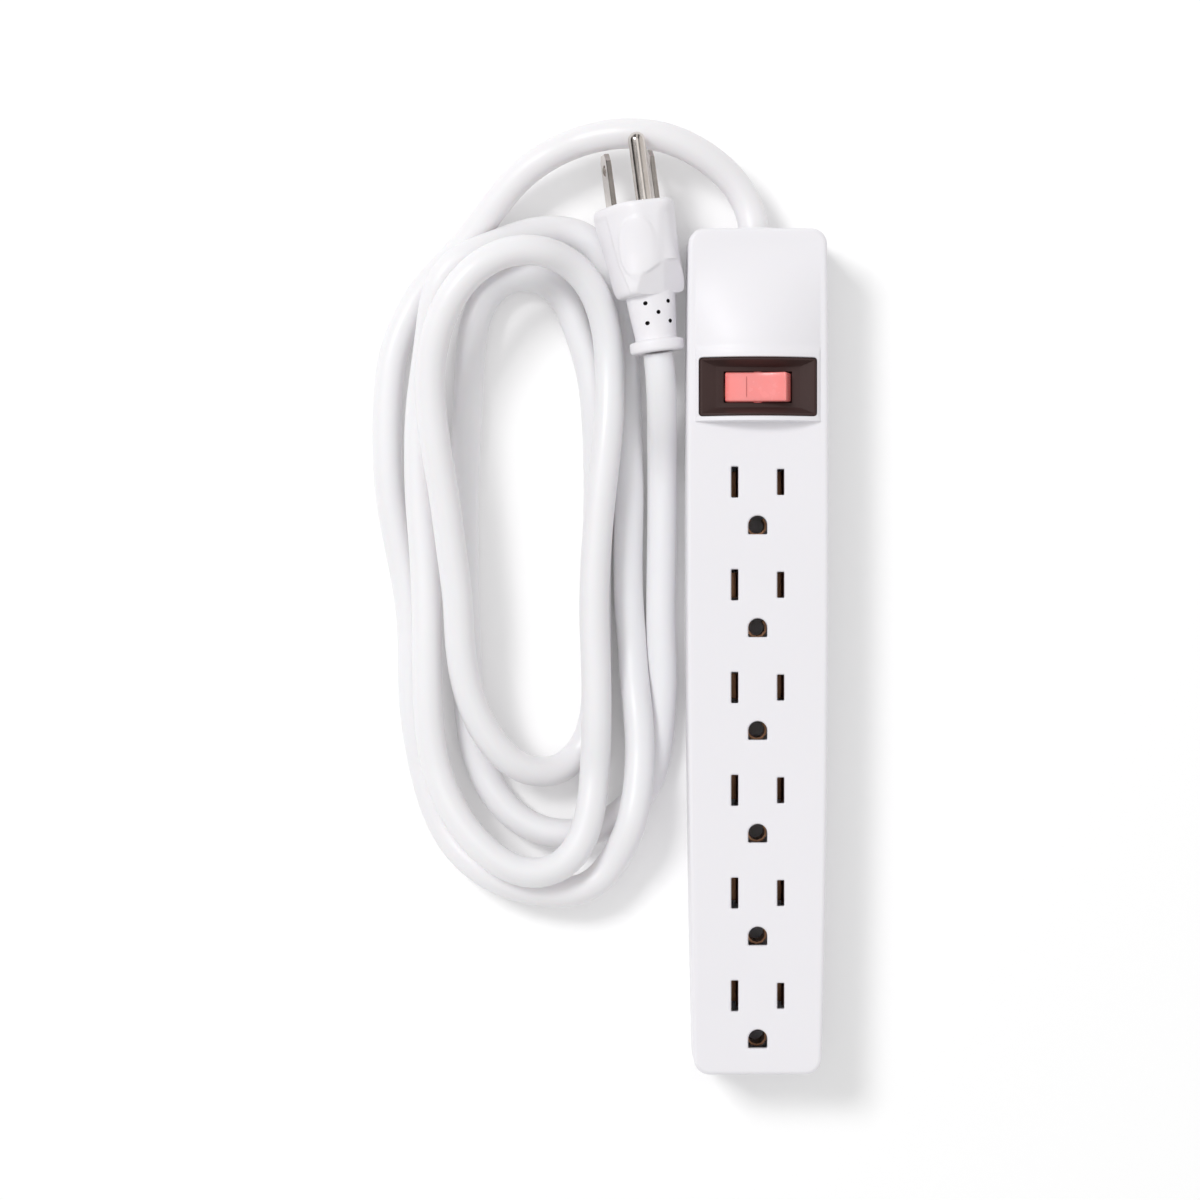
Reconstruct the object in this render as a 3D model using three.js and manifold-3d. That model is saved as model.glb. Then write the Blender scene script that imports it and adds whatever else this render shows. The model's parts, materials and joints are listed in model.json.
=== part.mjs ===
// A six-outlet power strip that lies on its back, with its lighted rocker switch, its contacts and
// wiring, and its mains lead wound beside it with the plug on top.
// Millimetres. The origin is the middle of the case's back face, +Y runs towards the lead's end of
// the case and +Z is out of the outlet face.

import * as THREE from "three";
import { mergeVertices } from "three/addons/utils/BufferGeometryUtils.js";
import Module from "manifold-3d";

// ---------------------------------------------------------------- driving dimensions

// Running and seating clearances, and the facets that each curve of an outline is drawn with.
const SEAT_GAP = 0.3;
const FINE_GAP = 0.15;
const OUTLINE_SEGMENTS = 4;

// Case. Its long sides bow out very slightly and are widest a little above the middle.
const CASE_LENGTH = 234;
const CASE_HALF_WIDTH = 19.6;
const CASE_HEIGHT = 27;
const WIDEST_Y = 40;
const SIDE_BOW_RADIUS = 6200;
const CORNER_RADIUS = 4.5;
const TOP_EDGE_RADIUS = 1.2;
const WALL = 2.2;
const BASE_THICKNESS = 3;
const LIP_THICKNESS = 1.4;
const LIP_HEIGHT = 2.6;
const ROOF_UNDERSIDE_Z = CASE_HEIGHT - WALL;

// Outlets, all with the standard blade spacing and ground offset.
const OUTLET_COUNT = 6;
const FIRST_OUTLET_Y = 46.8;
const OUTLET_PITCH = 28.4;
const BLADE_X = 6.35;
const GROUND_OFFSET = 11.9;
const SLOT_WIDTH = 2;
const NEUTRAL_SLOT_LENGTH = 8.6;
const HOT_SLOT_LENGTH = 7.2;
const GROUND_HOLE_RADIUS = 2.65;
const GROUND_HOLE_FLAT = 2.55;

// Hood over the switch: it climbs from the lead's end and stops in an arched collar.
const HOOD_HALF_WIDTH = 17.4;
const HOOD_RISE = 5;
const HOOD_FRONT_Y = 63.3;
const HOOD_CREST_Y = 84;
const HOOD_END_Y = 113;
const HOOD_SINK = 0.05;

// Rocker switch.
const SWITCH_Y = 73;
const BEZEL_HALF_WIDTH = 16.15;
const BEZEL_HALF_DEPTH = 7.95;
const BEZEL_FOOT_Z = 25.4;
const BEZEL_RIM = 0.6;
const FUNNEL_HALF_WIDTH = 11.5;
const FUNNEL_HALF_DEPTH = 5.6;
const FUNNEL_FLOOR_Z = 26.8;
const COLLAR_PAD_Z = 22.5;
const CASE_BOX_HALF_WIDTH = 11;
const CASE_BOX_HALF_DEPTH = 6.1;
const CASE_BOX_FOOT_Z = 9.7;
const ROCKER_WELL_HALF_WIDTH = 9.4;
const ROCKER_WELL_HALF_DEPTH = 4.3;
const ROCKER_HALF_LENGTH = 8.5;
const ROCKER_HALF_WIDTH = 4;
const ROCKER_TOP = 4.4;
const ROCKER_DISH = 1.1;
const ROCKER_SKIRT = -1.2;
const ROCKER_WALL = 1.1;
const PIVOT_Z = 25;
const TRUNNION_RADIUS = 1.1;
const TRUNNION_LENGTH = 1.3;
const ROCKER_TILT = 10;
const STEM_RADIUS = 2.4;
const STEM_FOOT = -5.5;
const PLUNGER_RADIUS = 1.1;
const PLUNGER_REACH = 11;
const PLUNGER_TOP = -2;
const STEM_BORE_TOP = 0.5;
const SPRING_RADIUS = 0.7;
const SPRING_WIRE_RADIUS = 0.2;
const SPRING_TURNS = 3;
const ARM_TILT = 6;
const ARM_HALF_LENGTH = 7;
const ARM_HALF_WIDTH = 2;
const ARM_THICKNESS = 0.6;
const ARM_Z = 13.37;
const RIVET_RADIUS = 1.5;
const RIVET_HEIGHT = 0.8;
const ARM_CONTACT_X = 6;
const LAMP = { radius: 1.4, halfLength: 2.5, x: 5.2, z: 0.55 };
const TERMINAL_HALF_WIDTH = 1.8;
const TERMINAL_SHEET = 0.8;
const TERMINAL_FOOT_Z = 4.2;
const PAD_Z = 9.7;
const SIDE_TERMINAL_X = 8.6;
const BACK_FOOT_Z = 7.6;
const BACK_TOP_Z = 9.4;
const RESISTOR = { radius: 1.1, y0: 62.5, y1: 68.5, x: -10.4, z: 5.2 };

// Contact strips, each a band on edge that carries one spring contact for each outlet.
const SHEET = 0.6;
const BAND_FOOT_Z = 7;
const BAND_HEIGHT = 4;
const BLADE_BAND_X = 8.8;
const GROUND_BAND_X = 3.25;
const GROUND_BAND_FOOT_Z = 6.4;
const CONTACT_WIDTH = 7;
const CONTACT_TIP_Z = 21;
const CONTACT_FOOT_X = 2.1;
const CONTACT_THROAT_X = 0.6;
const CONTACT_FLARE = 4;
const CAGE_RADIUS = 2.3;
const CAGE_TOP_Z = 19;
const CAGE_ARM_HALF_WIDTH = 1.5;
const BAND_TOP_Y = 55;
const GROUND_BAND_TOP_Y = 41;
const RIB_OFFSET = 8;
const RIB_HALF_WIDTH = 10.9;
const RIB_THICKNESS = 1.6;
const RIB_TOP_Z = 10;
const NOTCH_WIDTH = 1.2;

// Fasteners.
const CASE_SCREW_X = 13.4;
const CASE_SCREW_YS = [-108, 12, 108];
const POST_RADIUS = 3.2;
const SCREW_SHANK_RADIUS = 1.4;
const SCREW_HEAD_RADIUS = 2.8;
const SCREW_HEAD_HEIGHT = 1.4;
const SCREW_TIP_Z = 12;
const SCREW_RECESS_DEPTH = 1.7;
const CROSS_HALF_LENGTH = 1.5;
const CROSS_HALF_WIDTH = 0.35;
const CROSS_DEPTH = 0.8;

// Keyholes in the back, for hanging the strip on two wall screws.
const KEYHOLE_YS = [57, -93];
const KEYHOLE_HEAD_RADIUS = 4.2;
const KEYHOLE_SLOT_WIDTH = 4.2;
const KEYHOLE_SLOT_REACH = 8;
const KEYHOLE_CUP_HEIGHT = 6.1;
const KEYHOLE_CUP_WALL = 1;

// Mains lead.
const CORD_DIAMETER = 8.4;
const CORD_RADIUS = CORD_DIAMETER / 2;
const CORD_REST_Z = 4.3;
const CORD_EXIT_Z = 13;
const CORD_SIDES = 10;
const WIRE_RADIUS = 1.4;
const CORD_END_Y = 96;
const SLEEVE_NECK_RADIUS = 5.6;
const SLEEVE_TAIL_RADIUS = 5.7;
const CLAMP_Y = 102;
const CLAMP_HALF_LENGTH = 3;
const CLAMP_HALF_WIDTH = 11.6;
const CLAMP_FOOT_Z = 13.6;
const CLAMP_TOP_Z = 20.4;
const CLAMP_POST_X = 9.4;
const CLAMP_SCREW_RADIUS = 1.2;
const CLAMP_HEAD_RADIUS = 2;
const CLAMP_HEAD_HEIGHT = 1.4;

// Each wire leaves the lead's inner end and lies between the switch and the side wall.
const WIRE_ROUTES = {
  line_wire: [
    [1.9, 95.6, 14], [1.95, 93.6, 13.9], [4.5, 89.5, 12.6], [10.5, 84, 9.4], [13.8, 79, 6.8],
    [12.9, 74.4, 5.9], [9.7, 73, 5.9],
  ],
  neutral_wire: [
    [-1.9, 95.6, 14], [-1.95, 93.6, 14], [-4.5, 90, 13.8], [-10.5, 85, 12.8], [-13.7, 78, 12],
    [-13.8, 69, 11.4], [-12.6, 63, 10], [-9.5, 59.6, 9.2], [-8.8, 57.4, 9], [-8.8, 56, 9],
  ],
  ground_wire: [
    [0, 95.6, 11], [-0.1, 93.6, 10.9], [-3.5, 90, 9.6], [-10.5, 85, 7.2], [-13.5, 79, 5.8], [-13.6, 66, 5.2],
    [-13.4, 54, 4.9], [-11.4, 48.4, 4.8], [-7, 45.9, 4.8], [-4.2, 44.4, 4.85], [-3.3, 42.9, 5.4],
    [-3.25, 41.35, 6.4],
  ],
  load_wire: [
    [0.8, 73, 5.7], [2.6, 72.8, 5.7], [6.3, 71, 5.7], [8.2, 67, 5.9], [8.9, 61.5, 8],
    [8.8, 57.6, 9], [8.8, 56, 9],
  ],
};

// The lead from its inner end, out of the case and down to where it joins the coil.
const LEAD_ROUTE = [
  [0, CORD_END_Y, CORD_EXIT_Z],
  [0, 106, CORD_EXIT_Z],
  [0, 118, CORD_EXIT_Z],
  [-0.7, 122.4, 12.6],
  [-3.2, 127.2, 11.3],
  [-8, 132.8, 9],
  [-15.6, 138.8, 6.4],
  [-25.5, 143.1, 4.9],
  [-35.1, 144.3, 4.4],
  [-44.6, 143.6, CORD_REST_Z],
  [-54.9, 140.3, CORD_REST_Z],
  [-64.8, 134.3, CORD_REST_Z],
  [-73.3, 125, CORD_REST_Z],
];

// The lead from the coil, under the plug's side of the case, up into the plug.
const TAIL_ROUTE = [
  [-26.8, -20, CORD_REST_Z],
  [-26.4, -4, CORD_REST_Z],
  [-26.4, 14, CORD_REST_Z],
  [-26.2, 28, CORD_REST_Z],
  [-26.1, 38, 4.5],
  [-26.1, 45.5, 5.4],
  [-26.1, 53, 7.4],
  [-26.2, 60.5, 10.6],
  [-26.3, 67.5, 14],
  [-26.6, 74, 16.8],
  [-27, 79.4, 17.9],
  [-27.4, 82.7, 18.03],
];

// The wound part of the lead: an oval ring whose lower layer spreads wider than its upper one.
const COIL_LAYER = 8.6;
const COIL_HOLE = [
  [-60, 96], [-50, 80], [-48.4, 30], [-49.5, -12], [-60, -28.5], [-70.5, -20], [-75, 30],
  [-81, 66], [-76, 95],
];
const COIL_FLOOR = [
  [-60, 124], [-43, 116], [-35.2, 97], [-32, 66], [-29, 20], [-23.4, -28], [-34, -58], [-60, -72],
  [-86, -60], [-99, -30], [-102, 10], [-107.8, 55], [-102, 96], [-82, 121],
];
const COIL_UPPER = [
  [-60, 122.5], [-47, 114], [-40.4, 97], [-35, 66], [-31.5, 20], [-31, -38], [-46, -62], [-66, -66],
  [-88, -48], [-97, -14], [-99, 60], [-90, 104],
];

// Plug: blades and pin to the standard, moulded body with a strain relief. Its own frame has the
// blades' middle at the front face as origin, +Y along the blades and +Z towards the ground pin.
const PLUG_PLACE = [-34.2, 124.4, 13];
const PLUG_LEAN = 7.5;
const PLUG_ROLL = 14.5;
const BLADE_LENGTH = 15.2;
const BLADE_WIDTH = 6.35;
const BLADE_THICKNESS = 1.5;
const GROUND_PIN_RADIUS = 2.4;
const GROUND_PIN_LENGTH = 19.2;
const PLUG_FACE_WALL = 3;
const BRIDGE_LENGTH = 7;
const BRIDGE_HALF_WIDTH = 8;
const BRIDGE_HALF_DEPTH = 3.7;
const BRIDGE_STEM_HALF_WIDTH = 3.6;
const BLADE_TIP_LENGTH = 2;
const BLADE_TIP_CUT = 1.2;
const BLADE_HOLE_RADIUS = 1.6;
const BLADE_HOLE_SETBACK = 4.5;
const PLUG_CORD_Z = 5.2;
const PLUG_TAPER = 0.02;
// Cross-sections from the face back: place along Y, half width, lowest z, highest z, squareness.
const PLUG_SECTIONS = [
  [0, 10.4, -4.4, 15.6, 4.5],
  [-1.2, 11.6, -5.3, 16.5, 4.5],
  [-4.5, 11.85, -5.3, 16.5, 4.5],
  [-19.5, 10, -3, 14.5, 4],
  [-24.6, 9.2, -2, 12.6, 3.2],
  [-26.2, 7.4, -1.2, 11.6, 2.2],
  [-38, 5.8, -0.5, 10.9, 2],
  [-38.5, 7.6, -2, 12.4, 2],
  [-41.3, 7.6, -2, 12.4, 2],
  [-41.7, 7, -1.6, 12, 2],
];
const PLUG_TAPER_END_Y = -26.2;

// ---------------------------------------------------------------- solids and shapes

const wasm = await Module();
wasm.setup();

const radians = THREE.MathUtils.degToRad;
const outletYs = Array.from({ length: OUTLET_COUNT }, (_, i) => FIRST_OUTLET_Y - i * OUTLET_PITCH);

// A closed three.js geometry as a solid that can be joined and cut.
function solid(geometry) {
  const bare = new THREE.BufferGeometry().setAttribute("position", geometry.getAttribute("position"));
  if (geometry.index) bare.setIndex(geometry.index);
  const merged = mergeVertices(bare, 1e-4);
  return new wasm.Manifold(
    new wasm.Mesh({
      numProp: 3,
      vertProperties: merged.getAttribute("position").array,
      triVerts: new Uint32Array(merged.index.array),
    }),
  );
}

// A solid as a flat-shaded three.js geometry.
function geometryOf(made) {
  const { vertProperties, triVerts } = made.getMesh();
  const geometry = new THREE.BufferGeometry()
    .setAttribute("position", new THREE.BufferAttribute(vertProperties, 3))
    .setIndex(new THREE.BufferAttribute(triVerts, 1))
    .toNonIndexed();
  geometry.computeVertexNormals();
  return geometry;
}

const join = (...pieces) => pieces.reduce((whole, piece) => whole.add(piece));
const cut = (body, ...tools) => tools.reduce((left, tool) => left.subtract(tool), body);

// A block between two opposite corners.
function block([x0, y0, z0], [x1, y1, z1]) {
  const geometry = new THREE.BoxGeometry(x1 - x0, y1 - y0, z1 - z0);
  return solid(geometry.translate((x0 + x1) / 2, (y0 + y1) / 2, (z0 + z1) / 2));
}

// A block whose corners and edges are divided and then moved by a function of (u, v, w), each -1 to 1.
function warpedBlock([across, along, up], place) {
  const geometry = new THREE.BoxGeometry(2, 2, 2, across, along, up);
  const position = geometry.getAttribute("position");
  for (let i = 0; i < position.count; i++)
    position.setXYZ(i, ...place(position.getX(i), position.getY(i), position.getZ(i)));
  return solid(geometry);
}

// A cylinder that stands on (x, y, z).
function post(radius, height, [x, y, z], sides = 16) {
  const geometry = new THREE.CylinderGeometry(radius, radius, height, sides);
  return solid(geometry.rotateX(Math.PI / 2).translate(x, y, z + height / 2));
}

// A cylinder along Y between y0 and y1.
function rod(radius, y0, y1, x, z, sides = 12) {
  const geometry = new THREE.CylinderGeometry(radius, radius, y1 - y0, sides);
  return solid(geometry.translate(x, (y0 + y1) / 2, z));
}

// A flat shape in XY, raised from z0 to z1.
function prism(shape, z0, z1, curveSegments = OUTLINE_SEGMENTS) {
  const options = { depth: z1 - z0, bevelEnabled: false, curveSegments };
  return solid(new THREE.ExtrudeGeometry(shape, options).translate(0, 0, z0));
}

// A flat shape in XZ, extruded along Y from y0 to y1.
function slab(shape, y0, y1, curveSegments = 8) {
  const options = { depth: y1 - y0, bevelEnabled: false, curveSegments };
  return solid(new THREE.ExtrudeGeometry(shape, options).rotateX(Math.PI / 2).translate(0, y1, 0));
}

const polygon = (points) => new THREE.Shape(points.map(([x, y]) => new THREE.Vector2(x, y)));

// A profile of [radius, y] points turned about the Y axis.
function turned(profile, sides = 20) {
  return solid(new THREE.LatheGeometry(profile.map(([r, y]) => new THREE.Vector2(r, y)), sides));
}

// A round bar along a smooth curve through the points.
function tube(points, radius, steps, sides = 8) {
  const path = new THREE.CatmullRomCurve3(
    points.map((p) => new THREE.Vector3(...p)),
    false,
    "centripetal",
  );
  const corners = Array.from({ length: sides }, (_, i) => {
    const angle = (2 * Math.PI * i) / sides;
    return [radius * Math.cos(angle), radius * Math.sin(angle)];
  });
  const options = { steps, extrudePath: path, bevelEnabled: false };
  return solid(new THREE.ExtrudeGeometry(polygon(corners), options));
}

// ---------------------------------------------------------------- case outline and hood

// The case's half width at a place along it, a shallow parabola.
const halfWidth = (y) => CASE_HALF_WIDTH - (y - WIDEST_Y) ** 2 / (2 * SIDE_BOW_RADIUS);

// The case's outline seen from the front, moved inwards by an inset.
function caseOutline(inset) {
  const end = CASE_LENGTH / 2 - inset;
  const radius = Math.max(CORNER_RADIUS - inset, 1);
  const handle = 0.448 * radius;
  const straight = end - radius;
  const side = (y) => halfWidth(y) - inset;
  const waist = side(-straight) + (straight * (WIDEST_Y + straight)) / SIDE_BOW_RADIUS;
  const corner = side(end);
  const foot = side(-end);
  const shape = new THREE.Shape();
  shape.moveTo(side(-straight), -straight);
  shape.quadraticCurveTo(waist, 0, side(straight), straight);
  shape.bezierCurveTo(corner, end - handle, corner - handle, end, corner - radius, end);
  shape.lineTo(radius - corner, end);
  shape.bezierCurveTo(handle - corner, end, -corner, end - handle, -side(straight), straight);
  shape.quadraticCurveTo(-waist, 0, -side(-straight), -straight);
  shape.bezierCurveTo(-foot, handle - end, handle - foot, -end, radius - foot, -end);
  shape.lineTo(foot - radius, -end);
  shape.bezierCurveTo(foot - handle, -end, foot, handle - end, side(-straight), -straight);
  return shape;
}

// How far the hood stands above the outlet face.
function hoodRise(x, y) {
  const arch = Math.max(0, 1 - (x / HOOD_HALF_WIDTH) ** 2);
  const climb = THREE.MathUtils.clamp((HOOD_END_Y - y) / (HOOD_END_Y - HOOD_CREST_Y), 0, 1);
  return HOOD_RISE * arch * climb * climb * (3 - 2 * climb);
}

// A filled hood whose upper face stands a given height above z = floor.
function hoodSolid(halfSpan, y0, y1, floor, sink) {
  return warpedBlock([10, 7, 1], (u, v, w) => {
    const x = u * halfSpan;
    const y = y0 + ((v + 1) / 2) * (y1 - y0);
    const scaled = (x * HOOD_HALF_WIDTH) / halfSpan;
    return [x, y, w < 0 ? floor - 1 : floor - sink + hoodRise(scaled, y)];
  });
}

// ---------------------------------------------------------------- case

function groundHoleShape(clearance = 0) {
  const radius = GROUND_HOLE_RADIUS + clearance;
  const shape = new THREE.Shape();
  shape.moveTo(-radius, -GROUND_HOLE_FLAT - clearance);
  shape.lineTo(radius, -GROUND_HOLE_FLAT - clearance);
  shape.lineTo(radius, 0);
  shape.absarc(0, 0, radius, 0, Math.PI);
  return shape;
}

function outletHoles(y) {
  const slot = (x, length) =>
    block(
      [x - SLOT_WIDTH / 2, y - length / 2, ROOF_UNDERSIDE_Z - 1],
      [x + SLOT_WIDTH / 2, y + length / 2, CASE_HEIGHT + 1],
    );
  const ground = prism(groundHoleShape(), ROOF_UNDERSIDE_Z - 1, CASE_HEIGHT + 1, 5);
  return join(
    slot(-BLADE_X, NEUTRAL_SLOT_LENGTH),
    slot(BLADE_X, HOT_SLOT_LENGTH),
    ground.translate([0, y - GROUND_OFFSET, 0]),
  );
}

const screwPlaces = CASE_SCREW_YS.flatMap((y) => [
  [-CASE_SCREW_X, y],
  [CASE_SCREW_X, y],
]);

function topCover() {
  const foot = BASE_THICKNESS + SEAT_GAP;
  const rounded = new THREE.ExtrudeGeometry(caseOutline(TOP_EDGE_RADIUS), {
    depth: CASE_HEIGHT - TOP_EDGE_RADIUS,
    bevelThickness: TOP_EDGE_RADIUS,
    bevelSize: TOP_EDGE_RADIUS,
    bevelSegments: 3,
    curveSegments: OUTLINE_SEGMENTS,
  });
  const far = CASE_LENGTH;
  const shell = cut(
    join(
      solid(rounded),
      hoodSolid(HOOD_HALF_WIDTH, HOOD_FRONT_Y, HOOD_END_Y, CASE_HEIGHT, HOOD_SINK),
    ),
    block([-far, -far, -far], [far, far, foot]),
    prism(caseOutline(WALL), 0, ROOF_UNDERSIDE_Z),
    hoodSolid(HOOD_HALF_WIDTH - WALL, HOOD_CREST_Y, HOOD_END_Y, ROOF_UNDERSIDE_Z, HOOD_SINK),
  );
  const posts = screwPlaces.map(([x, y]) =>
    post(POST_RADIUS, ROOF_UNDERSIDE_Z + 1 - foot - SEAT_GAP, [x, y, foot + SEAT_GAP]),
  );
  const pilots = screwPlaces.map(([x, y]) =>
    post(SCREW_SHANK_RADIUS + FINE_GAP, SCREW_TIP_Z + 1, [x, y, 0]),
  );
  const pad = block(
    [-CASE_HALF_WIDTH + WALL, HOOD_FRONT_Y, COLLAR_PAD_Z],
    [CASE_HALF_WIDTH - WALL, HOOD_CREST_Y, ROOF_UNDERSIDE_Z + 1],
  );
  const grow = SEAT_GAP;
  const rebate = block(
    [-BEZEL_HALF_WIDTH - grow, SWITCH_Y - BEZEL_HALF_DEPTH - grow, BEZEL_FOOT_Z - grow],
    [BEZEL_HALF_WIDTH + grow, SWITCH_Y + BEZEL_HALF_DEPTH + grow, CASE_HEIGHT + 2 * HOOD_RISE],
  );
  const window = block(
    [-CASE_BOX_HALF_WIDTH - grow, SWITCH_Y - CASE_BOX_HALF_DEPTH - grow, COLLAR_PAD_Z - 1],
    [CASE_BOX_HALF_WIDTH + grow, SWITCH_Y + CASE_BOX_HALF_DEPTH + grow, CASE_HEIGHT + 1],
  );
  const holeRadius = SLEEVE_NECK_RADIUS + SEAT_GAP;
  const cordHole = rod(holeRadius, CASE_LENGTH / 2 - 2 * WALL, far, 0, CORD_EXIT_Z, 20);
  return cut(
    join(shell, pad, ...posts),
    ...pilots,
    ...outletYs.map(outletHoles),
    rebate,
    window,
    cordHole,
  );
}

function keyhole(y, z0, z1) {
  const head = post(KEYHOLE_HEAD_RADIUS, z1 - z0, [0, y, z0], 20);
  const half = KEYHOLE_SLOT_WIDTH / 2;
  return join(
    head,
    block([-half, y, z0], [half, y + KEYHOLE_SLOT_REACH, z1]),
    post(half, z1 - z0, [0, y + KEYHOLE_SLOT_REACH, z0], 20),
  );
}

// A cup over each keyhole keeps a wall screw away from the contact strips.
function keyholeCup(y, inset, z0, z1) {
  const half = KEYHOLE_HEAD_RADIUS + KEYHOLE_CUP_WALL - inset;
  return block([-half, y - half, z0], [half, y + KEYHOLE_SLOT_REACH + half - KEYHOLE_CUP_WALL, z1]);
}

// A wall across the base with a notch for each contact strip.
function cradleRib(y) {
  const half = NOTCH_WIDTH / 2;
  const notch = (x, footZ) =>
    block(
      [x - half, y - RIB_THICKNESS, footZ - SEAT_GAP],
      [x + half, y + RIB_THICKNESS, CASE_HEIGHT],
    );
  return cut(
    block(
      [-RIB_HALF_WIDTH, y - RIB_THICKNESS / 2, BASE_THICKNESS - 1],
      [RIB_HALF_WIDTH, y + RIB_THICKNESS / 2, RIB_TOP_Z],
    ),
    notch(-BLADE_BAND_X, BAND_FOOT_Z),
    notch(-GROUND_BAND_X, GROUND_BAND_FOOT_Z),
    notch(BLADE_BAND_X, BAND_FOOT_Z),
  );
}

const cordGroove = () =>
  rod(SLEEVE_TAIL_RADIUS + 2 * SEAT_GAP, CORD_END_Y - 1, CASE_LENGTH / 2, 0, CORD_EXIT_Z, 20);

function baseCover() {
  const plate = cut(
    solid(
      new THREE.ExtrudeGeometry(caseOutline(1), {
        depth: 2 * BASE_THICKNESS,
        bevelThickness: 1,
        bevelSize: 1,
        bevelSegments: 1,
        curveSegments: OUTLINE_SEGMENTS,
      }).translate(0, 0, 1),
    ),
    block([-CASE_LENGTH, -CASE_LENGTH, BASE_THICKNESS], [CASE_LENGTH, CASE_LENGTH, CASE_HEIGHT]),
  );
  const lipTop = BASE_THICKNESS + LIP_HEIGHT;
  const lip = cut(
    prism(caseOutline(WALL + SEAT_GAP), BASE_THICKNESS - 1, lipTop),
    prism(caseOutline(WALL + SEAT_GAP + LIP_THICKNESS), BASE_THICKNESS - 2, lipTop + 1),
    ...screwPlaces.map(([x, y]) => post(POST_RADIUS + SEAT_GAP, lipTop, [x, y, BASE_THICKNESS])),
  );
  const ribs = outletYs.map((y) => cradleRib(y + RIB_OFFSET));
  const cups = KEYHOLE_YS.map((y) => keyholeCup(y, 0, BASE_THICKNESS - 1, KEYHOLE_CUP_HEIGHT));
  const hollows = KEYHOLE_YS.map((y) =>
    keyholeCup(y, KEYHOLE_CUP_WALL, BASE_THICKNESS, KEYHOLE_CUP_HEIGHT - KEYHOLE_CUP_WALL),
  );
  const clampPosts = [-CLAMP_POST_X, CLAMP_POST_X].map((x) =>
    post(POST_RADIUS, CORD_EXIT_Z - BASE_THICKNESS + 1, [x, CLAMP_Y, BASE_THICKNESS - 1]),
  );
  const saddle = cut(
    join(
      block(
        [-CLAMP_POST_X, CLAMP_Y - CLAMP_HALF_LENGTH, BASE_THICKNESS - 1],
        [CLAMP_POST_X, CLAMP_Y + CLAMP_HALF_LENGTH, CORD_EXIT_Z - SLEEVE_TAIL_RADIUS + 1],
      ),
      ...clampPosts,
    ),
    cordGroove(),
  );
  const screwHoles = screwPlaces.map(([x, y]) =>
    join(
      post(SCREW_SHANK_RADIUS + SEAT_GAP, BASE_THICKNESS + 2, [x, y, -1]),
      post(SCREW_HEAD_RADIUS + SEAT_GAP, SCREW_RECESS_DEPTH + 1, [x, y, -1]),
    ),
  );
  const clampPilots = [-CLAMP_POST_X, CLAMP_POST_X].map((x) =>
    post(CLAMP_SCREW_RADIUS + FINE_GAP, CORD_EXIT_Z, [x, CLAMP_Y, BASE_THICKNESS + 1]),
  );
  return cut(
    join(plate, lip, ...ribs, ...cups, saddle),
    ...hollows,
    ...KEYHOLE_YS.map((y) => keyhole(y, -1, BASE_THICKNESS + 1)),
    ...screwHoles,
    ...clampPilots,
  );
}

function caseScrew([x, y]) {
  const headZ = SCREW_RECESS_DEPTH - FINE_GAP - SCREW_HEAD_HEIGHT;
  const recess = (alongX, alongY) =>
    block([x - alongX, y - alongY, -1], [x + alongX, y + alongY, headZ + CROSS_DEPTH]);
  return cut(
    join(
      post(SCREW_HEAD_RADIUS, SCREW_HEAD_HEIGHT, [x, y, headZ]),
      post(SCREW_SHANK_RADIUS, SCREW_TIP_Z - headZ - 1, [x, y, headZ + 1]),
    ),
    recess(CROSS_HALF_LENGTH, CROSS_HALF_WIDTH),
    recess(CROSS_HALF_WIDTH, CROSS_HALF_LENGTH),
  );
}

// ---------------------------------------------------------------- contact strips

// A two-leaf spring contact, open at the top, in XZ about the blade's middle plane.
const contactLeaf = [
  [CONTACT_FOOT_X, BAND_FOOT_Z],
  [CONTACT_FOOT_X, BAND_FOOT_Z + 1.5],
  [CONTACT_THROAT_X + SHEET - 0.05, CONTACT_TIP_Z - CONTACT_FLARE],
  [CONTACT_THROAT_X + 1, CONTACT_TIP_Z],
  [CONTACT_THROAT_X + 0.5, CONTACT_TIP_Z],
  [CONTACT_THROAT_X, CONTACT_TIP_Z - CONTACT_FLARE],
  [CONTACT_FOOT_X - SHEET, BAND_FOOT_Z + SHEET],
];
const bladeContactShape = polygon([
  ...contactLeaf,
  ...contactLeaf.toReversed().map(([x, z]) => [-x, z]),
]);

function bladeBus() {
  const half = CONTACT_WIDTH / 2;
  const last = outletYs[OUTLET_COUNT - 1] - half;
  const band = block(
    [BLADE_BAND_X - SHEET / 2, last, BAND_FOOT_Z],
    [BLADE_BAND_X + SHEET / 2, BAND_TOP_Y, BAND_FOOT_Z + BAND_HEIGHT],
  );
  const contact = join(
    slab(bladeContactShape, -half, half).translate([BLADE_X, 0, 0]),
    block([BLADE_X + 2, -half, BAND_FOOT_Z], [BLADE_BAND_X, half, BAND_FOOT_Z + SHEET]),
  );
  return join(band, ...outletYs.map((y) => contact.translate([0, y, 0])));
}

// A sprung cage round the ground pin, split on the side towards the blades.
function groundCage() {
  const split = 0.25 * Math.PI;
  const shape = new THREE.Shape();
  shape.absarc(0, 0, CAGE_RADIUS + SHEET, 0.5 * Math.PI + split, 2.5 * Math.PI - split);
  shape.absarc(0, 0, CAGE_RADIUS, 2.5 * Math.PI - split, 0.5 * Math.PI + split, true);
  return join(
    prism(shape, GROUND_BAND_FOOT_Z + 2, CAGE_TOP_Z, 4),
    block(
      [-GROUND_BAND_X, -CAGE_ARM_HALF_WIDTH, GROUND_BAND_FOOT_Z + 2],
      [-CAGE_RADIUS - 0.1, CAGE_ARM_HALF_WIDTH, GROUND_BAND_FOOT_Z + BAND_HEIGHT],
    ),
  );
}

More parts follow.
